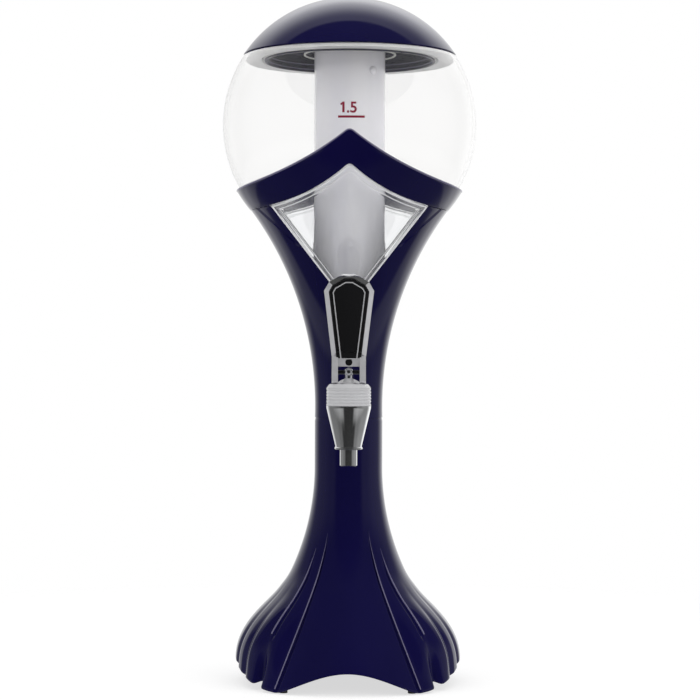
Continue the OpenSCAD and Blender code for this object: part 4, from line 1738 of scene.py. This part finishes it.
@dataclass
class IceTube:
    """White ice tube with a round end, bayonet lugs and a small nub."""

    radius: float = 24.0
    wall: float = 1.8
    foot_z: float = 250.0
    top_z: float = 437.5
    rim_cut: Point = (0.5, 0.6)
    lug_z: float = 431.5
    lug_h: float = 3.0
    lug_root: float = 1.0
    lug_out: float = 2.7
    lug_half: float = 6.0
    lug_turns: Point = (0.0, 180.0)
    nub_z: float = 409.0
    nub_turn: float = -50.0
    nub_r: float = 3.0
    nub_flat: float = 0.72
    nub_sink: float = 0.4
    nub_steps: tuple[int, int] = (28, 18)
    lug_steps: int = 6
    end_steps: int = 32

    def lug(self, turn: float) -> Mesh:
        """Bayonet lug as a short sector.

        Args:
            turn: Angle of its middle about Z in degrees.

        Returns:
            The closed mesh of the lug.
        """
        bm = bmesh.new()
        low, high = self.lug_z, self.lug_z + self.lug_h
        near, far = self.radius - self.lug_root, self.radius + self.lug_out
        corners = ((near, low), (far, low), (far, high), (near, high))
        face = bm.faces.new([bm.verts.new((r, 0.0, z)) for r, z in corners])
        turned(bm, -self.lug_half, "Z")
        geom = [face] + face.edges[:] + face.verts[:]
        spin(bm, geom, self.lug_steps, math.radians(2.0 * self.lug_half))
        return turned(outward(bm), turn, "Z")

    def nub(self) -> Mesh:
        """Small rounded nub on the tube's wall.

        Returns:
            The closed mesh of the nub.
        """
        bm = bmesh.new()
        round_steps, high_steps = self.nub_steps
        bmesh.ops.create_uvsphere(
            bm, u_segments=round_steps, v_segments=high_steps, radius=self.nub_r
        )
        bmesh.ops.scale(bm, vec=(self.nub_flat, 1.0, 1.0), verts=bm.verts)
        shifted(bm, (self.radius - self.nub_sink, 0.0, self.nub_z))
        return turned(bm, self.nub_turn, "Z")

    def build(self) -> None:
        """Spins the tube and adds its lugs and nub."""
        middle = (0.0, self.foot_z + self.radius)
        out, inside, top = self.radius, self.radius - self.wall, self.top_z
        cut, drop = self.rim_cut
        bm = lathe([
            (0.0, self.foot_z), *arc(middle, out, -90.0, 0.0, self.end_steps)[1:],
            (out, top - drop), (out - cut, top), (inside + cut, top), (inside, top - drop),
            *arc(middle, inside, 0.0, -90.0, self.end_steps)[:-1], (0.0, self.foot_z + self.wall),
        ], ring=False)
        for turn in self.lug_turns:
            absorb(bm, self.lug(turn))
        absorb(bm, self.nub())
        place("white_tube", bm, TUBE_WHITE, Body.TUBE, ["ice_tube"])


@dataclass
class PourTap:
    """Self-closing tap: ribbed collar on a shank, cap, plated nozzle and the valve's spring."""

    tap_y: float = -63.0
    body_z: float = 187.0
    body_r: float = 14.4
    cap_z: float = 198.0
    cap_top: float = 201.0
    neck_r: float = 11.4
    neck_z: float = 180.5
    neck_cut: float = 0.4
    seat_r: float = 4.6
    seat_z: float = 188.6
    chamber_r: float = 9.0
    chamber_wall: float = 1.0
    socket: Point = (11.1, 2.2)
    plug: Triple = (9.2, 11.0, 1.8)
    ribs: int = 5
    rib_steps: int = 60
    rib_start: float = 0.6
    rib_pitch: float = 2.0
    rib_deep: float = 0.42
    cap_cut: Point = (0.2, 0.3)
    guide_bore: float = 2.06
    guide: tuple[Point, ...] = (
        (12.7, -0.3), (12.1, 0.0), (6.4, 0.0), (5.0, 0.25), (4.0, 0.8), (3.4, 1.6), (3.05, 2.6),
        (2.9, 3.3), (2.6, 3.6),
    )
    outlet_r: float = 5.6
    outlet_z: float = 148.0
    outlet_cut: float = 0.4
    outlet_wall: float = 1.2
    bore_cut: float = 0.3
    lip_z: float = 158.6
    lip_r: float = 9.1
    lip_roll: float = 0.9
    lip_rise: Point = (-0.55, 2.4)
    nozzle_top: tuple[Point, ...] = ((-0.3, 0.0), (0.0, -0.3), (-0.1, -1.8))
    neck_gap: float = 0.1
    throat_r: float = 9.4
    throat_rise: float = 1.6
    seal_t: float = 1.3
    shank_r: float = 5.2
    shank_bore: float = 3.6
    shank_z: float = 192.5
    flange: Triple = (11.5, -28.3, -25.5)
    flange_cut: float = 0.6
    shank_end: float = -12.2
    spring_r: float = 5.2
    wire_r: float = 0.5
    spring_turns: float = 2.5
    spring_steps: int = 80
    spring: Point = (192.35, 197.4)
    steps: int = 128
    shank_steps: int = 96
    roll_steps: int = 8
    wire_steps: int = 10

    def at_tap(self, bm: Mesh) -> Mesh:
        """Moves a mesh from the origin to the tap's axis."""
        return shifted(bm, (0.0, self.tap_y, 0.0))

    def ribbed(self, z: float) -> float:
        """Radius of the collar's ribbed wall.

        Args:
            z: Height.

        Returns:
            The radius at that height.
        """
        phase = (z - self.body_z - self.rib_start) / self.rib_pitch
        if not 0.0 < phase < self.ribs:
            return self.body_r
        return self.body_r - self.rib_deep * (0.5 - 0.5 * math.cos(FULL_TURN * phase)) ** 2

    def collar(self) -> Mesh:
        """Ribbed collar with its valve chamber, neck and shank.

        Returns:
            The closed meshes of collar and shank in one.
        """
        heights = spaced(self.body_z, self.cap_z, self.rib_steps)
        socket_r, deep = self.socket
        neck, cut, floor = self.neck_r, self.neck_cut, self.cap_z - deep
        bm = self.at_tap(lathe([
            (self.seat_r, self.neck_z), (neck - cut, self.neck_z), (neck, self.neck_z + cut),
            (neck, self.body_z), *((self.ribbed(z), z) for z in heights),
            (socket_r, self.cap_z), (socket_r, floor), (self.chamber_r, floor),
            (self.chamber_r, self.seat_z), (self.seat_r, self.seat_z),
        ], self.steps))
        rim, near, far = self.flange
        out, bore, cut, end = self.shank_r, self.shank_bore, self.flange_cut, self.shank_end
        start = self.tap_y + self.chamber_r + self.chamber_wall
        shank = lathe([
            (bore, -start), (out, -start), (out, -near), (rim - cut, -near), (rim, -near - cut),
            (rim, -far + cut), (rim - cut, -far), (out, -far), (out, -end), (bore, -end),
        ], self.shank_steps)
        absorb(bm, shifted(turned(shank, 90.0, "X"), (0.0, 0.0, self.shank_z)))
        return bm

    def cap(self) -> Mesh:
        """Cap with a chamfered rim and a flared guide for the spindle.

        Returns:
            The closed mesh of the cap.
        """
        low, bore, (near, far, deep) = self.cap_z, self.guide_bore, self.plug
        cut, rise = self.cap_cut
        top = [(r, self.cap_top + z) for r, z in self.guide]
        return self.at_tap(lathe([
            (bore, low), (near, low), (near, low - deep), (far, low - deep), (far, low),
            (self.body_r - cut, low), (self.body_r, low + rise), *top, (bore, top[-1][1]),
        ], self.steps))

    def nozzle(self) -> Mesh:
        """Tapered nozzle with a rolled lip and the outlet tube.

        Returns:
            The closed mesh of the nozzle.
        """
        seal_z, neck = self.neck_z - self.seal_t, self.neck_r + self.neck_gap
        lip_r, lip, roll, (narrow, rise) = self.lip_r, self.lip_z, self.lip_roll, self.lip_rise
        out, end, cut = self.outlet_r, self.outlet_z, self.outlet_cut
        inside, bore_cut = out - self.outlet_wall, self.bore_cut
        return self.at_tap(lathe([
            (neck, self.body_z),
            *((self.body_r + r, self.body_z + z) for r, z in self.nozzle_top),
            (lip_r + narrow, lip + rise),
            *arc((lip_r - roll, lip + roll), roll, 60.0, -90.0, self.roll_steps),
            (out, lip), (out, end + cut), (out - cut, end), (inside + bore_cut, end),
            (inside, end + bore_cut), (inside, lip + self.throat_rise), (self.throat_r, seal_z),
            (neck, seal_z),
        ]))

    def coil(self) -> Mesh:
        """Valve spring: a wire circle that is spun up a helix.

        Returns:
            The closed mesh of the spring.
        """
        low, high = self.spring
        bm = bmesh.new()
        bmesh.ops.create_circle(bm, segments=self.wire_steps, radius=self.wire_r)
        shifted(turned(bm, 90.0, "X"), (self.spring_r, 0.0, low))
        geom, steps = bm.verts[:] + bm.edges[:], self.spring_steps
        spin(bm, geom, steps, FULL_TURN * self.spring_turns, (high - low) / steps)
        bmesh.ops.holes_fill(bm, edges=[e for e in bm.edges if e.is_boundary], sides=0)
        return self.at_tap(outward(bm))

    def build(self) -> None:
        """Builds the tap's own pieces, and gives the spring a mesh of its own."""
        place("tap_collar", self.collar(), COLLAR_WHITE, Body.STAND, ["tap_body"])
        place("tap_top", self.cap(), COLLAR_WHITE, Body.STAND, ["tap_cap"])
        place("nozzle", self.nozzle(), CHROME, Body.STAND, ["tap_nozzle"])
        coil = place("return_spring", self.coil(), STEEL, Body.STAND, ["valve_spring"])
        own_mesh(coil)


@dataclass
class TapLever:
    """Tilting lever: plated frame and fork, and a black panel inside a thin open line."""

    nodes: Mapping[str, bpy.types.Object]
    front: float = -68.0
    pin_z: float = 208.6
    foot: float = 9.4
    foot_w: float = 22.0
    lean: float = 0.1198
    bevel: float = 3.0
    bevel_deep: float = 2.6
    line_cut: float = 1.4
    line_near: float = 0.01
    proud: float = 0.05
    panel_drop: float = 0.5
    overlap: float = 0.2
    ridge_h: float = 0.6
    hole_r: float = 2.25
    hole_rise: float = 6.4
    hole_deep: float = 1.0
    hole_steps: int = 48
    crest: float = 45.0
    crest_slope: float = 0.35
    frame_round: float = 0.25
    line_round: float = 0.06
    panel_round: float = 0.12

    @property
    def low(self) -> float:
        """Height at which the black panel ends, a little below the lever's foot."""
        return self.pin_z + self.foot - self.panel_drop

    def block(self, half_w: Point, heights: Point, depths: Point) -> Mesh:
        """Upright block whose width changes with height.

        Args:
            half_w: Half widths at the lower and the upper end.
            heights: Heights of the two ends.
            depths: Front and back, counted from the lever's front.

        Returns:
            The block.
        """
        bm = bmesh.new()
        bmesh.ops.create_cube(bm, size=2.0)
        for vert in bm.verts:
            end, back = int(vert.co.z > 0.0), int(vert.co.y > 0.0)
            vert.co = (vert.co.x * half_w[end], self.front + depths[back], heights[end])
        return bm

    def frame(self) -> Mesh:
        """Frame and fork, with a second finish on the facets of the crest.

        Returns:
            The rounded mesh of the frame.
        """
        bm = soften(solid_mesh(self.nodes["lever_frame"]), self.frame_round)
        bm.normal_update()
        for face in bm.faces:
            upper = face.calc_center_median().z > self.pin_z + self.crest
            slope = min(face.normal.z, -face.normal.y)
            face.material_index = int(upper and slope > self.crest_slope)
        return bm

    def border(self) -> Mesh:
        """Black rim: the frame's flat rim as a thin sheet, and a block down to the fork.

        Returns:
            The mesh of both.
        """
        bm = solid_mesh(self.nodes["lever_frame"])
        others = [
            face for face in bm.faces
            if max(abs(vert.co.y - self.front) for vert in face.verts) > self.proud
        ]
        bmesh.ops.delete(bm, geom=others, context="FACES")
        bm.normal_update()
        shifted(bm, (0.0, -self.proud, 0.0))
        bmesh.ops.solidify(bm, geom=bm.faces[:], thickness=2.0 * self.proud)
        half = self.foot_w / 2.0 - self.bevel
        high = self.bevel + self.overlap
        absorb(bm, self.block(
            (half, half + self.lean * high), (self.low, self.pin_z + self.foot + high),
            (-self.proud, self.bevel_deep),
        ))
        return outward(bm)

    def line(self) -> Mesh:
        """Thin line round the panel without its lower bar, with legs down to the fork.

        Returns:
            The mesh of the line.
        """
        bm = solid_mesh(self.nodes["lever_bezel"])
        cut = min(vert.co.z for vert in bm.verts) + self.line_cut
        bmesh.ops.bisect_plane(
            bm, geom=bm.verts[:] + bm.edges[:] + bm.faces[:], dist=0.0001,
            plane_co=(0.0, 0.0, cut), plane_no=(0.0, 0.0, 1.0), clear_inner=True,
        )
        bmesh.ops.holes_fill(bm, edges=[e for e in bm.edges if e.is_boundary], sides=0)
        drop = cut - self.low
        for vert in bm.verts:
            if vert.co.z < cut + self.line_near:
                vert.co.x -= math.copysign(drop * self.lean, vert.co.x)
                vert.co.z -= drop
            if vert.co.y < self.front + self.panel_round:
                vert.co.y = self.front - 3.0 * self.proud
        return soften(outward(bm), self.line_round)

    def ridge(self) -> Mesh:
        """Thin ridge across the fork, under the panel.

        Returns:
            The rounded mesh of the ridge.
        """
        half = self.foot_w / 2.0 - self.overlap
        heights, depths = (self.low - self.ridge_h, self.low), (-3.0 * self.proud, self.ridge_h)
        return soften(self.block((half, half), heights, depths), self.panel_round)

    def hole(self) -> Mesh:
        """Black plug at the bottom of the round hole in the fork's bridge, which paints the shade
        inside the hole.

        Returns:
            The mesh of a short plug.
        """
        bm = bmesh.new()
        bmesh.ops.create_cone(
            bm, cap_ends=True, segments=self.hole_steps, radius1=self.hole_r,
            radius2=self.hole_r, depth=self.ridge_h,
        )
        offset = (0.0, self.front + self.hole_deep, self.pin_z + self.hole_rise)
        return shifted(turned(bm, 90.0, "X"), offset)

    def build(self) -> None:
        """Builds the frame, the panel with its border and line, and the fork's details."""
        handle = place("lever_handle", self.frame(), SATIN, Body.LEVER, ["lever_frame"])
        handle.data.materials.append(CHROME.material())
        panel = soften(solid_mesh(self.nodes["lever_insert"]), self.panel_round)
        place("lever_panel", panel, PANEL_BLACK, Body.LEVER, ["lever_insert"])
        place("lever_line", self.line(), SATIN, Body.LEVER, ["lever_bezel"])
        place("panel_border", self.border(), PANEL_BLACK, Body.LEVER)
        place("fork_ridge", self.ridge(), SATIN, Body.LEVER)
        # A black plug in the hole: painted shade
        place("fork_hole_painted_shade", self.hole(), PANEL_BLACK, Body.LEVER)


@dataclass
class SmallParts:
    """Feet and nut as rounded copies, and the solids that only need a finish."""

    nodes: Mapping[str, bpy.types.Object]
    pad_share: float = 0.6
    pad_round: float = 0.4
    nut_round: float = 0.3

    def pads(self) -> Mesh:
        """Rubber feet, slimmer than their solids, so that the toes hide them.

        Returns:
            The mesh of all feet.
        """
        bm = solid_mesh(self.nodes["foot_pads"])
        outer = [max(abs(vert.co[axis]) for vert in bm.verts) for axis in (0, 1)]
        for vert in bm.verts:
            for axis in (0, 1):
                away = mixed(outer[axis], abs(vert.co[axis]), self.pad_share)
                vert.co[axis] = math.copysign(away, vert.co[axis])
        return soften(bm, self.pad_round)

    def build(self) -> None:
        """Builds the feet and the nut."""
        place("rubber_feet", self.pads(), RUBBER, Body.STAND, ["foot_pads"])
        nut = soften(solid_mesh(self.nodes["tank_nut"]), self.nut_round)
        place("hex_nut", nut, NYLON, Body.STAND, ["tank_nut"])

    def dress(self) -> None:
        """Gives the solids that stay their finishes."""
        kept = {
            "lever_pin": PANEL_BLACK, "valve_spindle": CHROME, "valve_plug": SILICONE,
            "tank_washer": SILICONE, "tap_gasket": SILICONE, "nozzle_seal": SILICONE,
            "spindle_seal": RUBBER,
        }
        for node, finish in kept.items():
            mesh = self.nodes[node].data
            mesh.materials.clear()
            mesh.materials.append(finish.material())
            LOG.info("%s keeps its solid", node)


@dataclass(frozen=True)
class Lamp:
    """Soft lamp that gloss and clear plastic don't show, with its sizes in metres and watts."""

    name: str
    where: Triple
    aim: Triple
    size: Point
    power: float

    def build(self) -> None:
        """Hangs the lamp and turns it to its aim."""
        data = bpy.data.lights.new(self.name, "AREA")
        data.shape = "RECTANGLE"
        data.size, data.size_y = self.size
        data.energy = self.power
        made = bpy.data.objects.new(self.name, data)
        made.location = self.where
        way = Vector(self.aim) - Vector(self.where)
        made.rotation_euler = way.to_track_quat("-Z", "Y").to_euler()
        made.visible_glossy = False
        made.visible_transmission = False
        bpy.context.scene.collection.objects.link(made)


@dataclass
class Studio:
    """Camera at the photograph's place, pale floor, soft lamps and a white surround, in metres.

    What gloss sees is a plain room: each ramp gives a range of one direction and the levels at
    its two ends.
    """

    distance: float = 1.451
    eye_z: float = 0.2248
    focal_px: float = 2150.0
    frame_px: float = 700.0
    sensor: float = 36.0
    shift: Point = (0.0016, -0.0043)
    roll: float = -0.2
    floor_half: float = 1.2
    floor_fade: Point = (0.28, 0.62)
    floor_front: Point = (-0.36, -0.20)
    floor_grain: Grain = Grain(30.0, 3.0)
    floor_tones: Point = (0.40, 0.42)
    floor_rough: float = 0.9
    floor_glow: float = 0.66
    ambient: float = 0.45
    lamps: tuple[Lamp, ...] = (
        Lamp("overhead", (0.0, 0.2, 1.5), (0.0, 0.0, 0.0), (1.8, 1.4), 11.0),
        Lamp("key_soft", (1.35, -0.95, 1.0), (0.0, 0.0, 0.25), (2.2, 2.0), 14.0),
        Lamp("fill_soft", (-1.35, -0.95, 0.8), (0.0, 0.0, 0.25), (2.2, 2.0), 9.0),
    )
    front_far: Ramp = (-0.80, -0.62, 0.015, 0.16)
    front_near: Ramp = (-0.5, -0.1, 0.0, 0.07)
    front_high: Ramp = (0.15, 0.5, 1.0, 0.35)
    rear: Ramp = (0.42, 0.88, 0.0, 0.78)
    right: Ramp = (-0.6, 0.6, 0.85, 1.2)
    roof: Ramp = (0.25, 0.65, 0.0, 1.0)
    roof_edge: Ramp = (0.17, 0.22, 0.0, 0.5)
    roof_rear: Ramp = (0.3, 0.6, 0.0, 0.8)
    roof_sides: Ramp = (0.2, 0.75, 1.0, 0.55)
    table_low: Ramp = (-0.47, -0.42, 0.0, 1.0)
    table_high: Ramp = (-0.30, -0.22, 1.0, 0.0)
    table_sides: Ramp = (0.35, 0.55, 0.0, 0.28)
    below: Ramp = (-0.5, -0.05, 0.3, 1.0)
    overhead: Ramp = (0.2, 0.6, 1.0, 0.8)

    def camera(self) -> None:
        """Creates the camera and makes it the scene's."""
        data = bpy.data.cameras.new("camera")
        data.sensor_width = self.sensor
        data.lens = self.sensor * self.focal_px / self.frame_px
        data.shift_x, data.shift_y = self.shift
        data.clip_end = 100.0
        made = bpy.data.objects.new("camera", data)
        made.location = (0.0, -self.distance, self.eye_z)
        made.rotation_euler = (math.pi / 2.0, math.radians(self.roll), 0.0)
        bpy.context.scene.collection.objects.link(made)
        bpy.context.scene.camera = made

    def floor_material(self) -> bpy.types.Material:
        """Pale matte sheet that fades into the white surround, also towards the dark front.

        Returns:
            The material of the floor.
        """
        made = bpy.data.materials.new("floor_white")
        made.use_nodes = True
        graph = Graph(made.node_tree)
        where = graph.place()
        first, second = (toned((tone, tone, tone)) for tone in self.floor_tones)
        colour = graph.mix(self.floor_grain.wire(graph), first, second)
        matte = graph.node("ShaderNodeBsdfPrincipled", {}, {
            "Base Color": colour, "Roughness": self.floor_rough, "Specular IOR Level": 0.0,
            "Emission Color": WHITE, "Emission Strength": self.floor_glow,
        })
        away = graph.node("ShaderNodeVectorMath", {"operation": "LENGTH"}, {0: where}, "Value")
        depth = graph.node("ShaderNodeSeparateXYZ", {}, {0: where}, "Y")
        kept = (1.0 - away.ramp(*self.floor_fade)) * depth.ramp(*self.floor_front)
        clear = graph.node("ShaderNodeBsdfTransparent")
        sheet = graph.node("ShaderNodeMixShader", {}, {0: kept, 1: clear, 2: matte})
        graph.node("ShaderNodeOutputMaterial", {}, {"Surface": sheet})
        return made

    def floor(self) -> None:
        """Pale floor that keeps the tower's shadow."""
        bm = bmesh.new()
        bmesh.ops.create_grid(bm, x_segments=1, y_segments=1, size=self.floor_half)
        mesh = bpy.data.meshes.new("floor")
        bm.to_mesh(mesh)
        bm.free()
        mesh.materials.append(self.floor_material())
        sheet = bpy.data.objects.new("floor", mesh)
        sheet.visible_glossy = False
        bpy.context.scene.collection.objects.link(sheet)

    def mirrored(self, graph: Graph) -> Wire:
        """Level of the room that gloss sees: white behind, a roof, a table's edge, dark in front.

        Args:
            graph: Node tree of the world.

        Returns:
            The level in each direction.
        """
        way = graph.node("ShaderNodeTexCoord", output="Generated")
        side, depth, height = (
            graph.node("ShaderNodeSeparateXYZ", {}, {0: way}, axis) for axis in "XYZ"
        )
        across = graph.math("ABSOLUTE", side)
        front = depth.ramp(*self.front_far) + depth.ramp(*self.front_near)
        front = front * height.ramp(*self.front_high)
        walls = (front + depth.ramp(*self.rear)) * side.ramp(*self.right)
        roof = depth.ramp(*self.roof_edge) + depth.ramp(*self.roof_rear)
        roof = height.ramp(*self.roof) * roof * across.ramp(*self.roof_sides)
        table = height.ramp(*self.table_low) * height.ramp(*self.table_high)
        table = table * across.ramp(*self.table_sides)
        return walls * height.ramp(*self.below) * height.ramp(*self.overhead) + roof + table

    def surround(self) -> None:
        """White surround for the eye and for clear plastic, and a room for gloss."""
        world = bpy.data.worlds.new("surround")
        world.use_nodes = True
        graph = Graph(world.node_tree)
        seen, through, gloss = (
            graph.node("ShaderNodeLightPath", output=f"Is {ray} Ray")
            for ray in ("Camera", "Transmission", "Glossy")
        )
        white = (seen + through).at_most(1.0)
        other = gloss * self.mirrored(graph) + (1.0 - gloss) * self.ambient
        strength = white + (1.0 - white) * other
        light = graph.node("ShaderNodeBackground", {}, {"Color": WHITE, "Strength": strength})
        graph.node("ShaderNodeOutputWorld", {}, {"Surface": light})
        bpy.context.scene.world = world

    def build(self) -> None:
        """Sets up camera, floor, lamps and surround."""
        self.camera()
        self.floor()
        for lamp in self.lamps:
            lamp.build()
        self.surround()
        bpy.context.scene.view_settings.view_transform = "Standard"


def main() -> None:
    """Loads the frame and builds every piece."""
    logging.basicConfig(level=logging.INFO, format="%(name)s: %(message)s")
    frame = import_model()
    small = SmallParts(frame["nodes"])
    for assembly in (
        Studio(), FlutedBase(), TrumpetStem(), CrownBand(), *map(WindowLens, Facing), GlobeTank(),
        CapacityMark(), DomeLid(), IceTube(), PourTap(), TapLever(frame["nodes"]), small,
    ):
        assembly.build()
    small.dress()
    LOG.info("tower dressed")


if __name__ == "__main__":
    main()
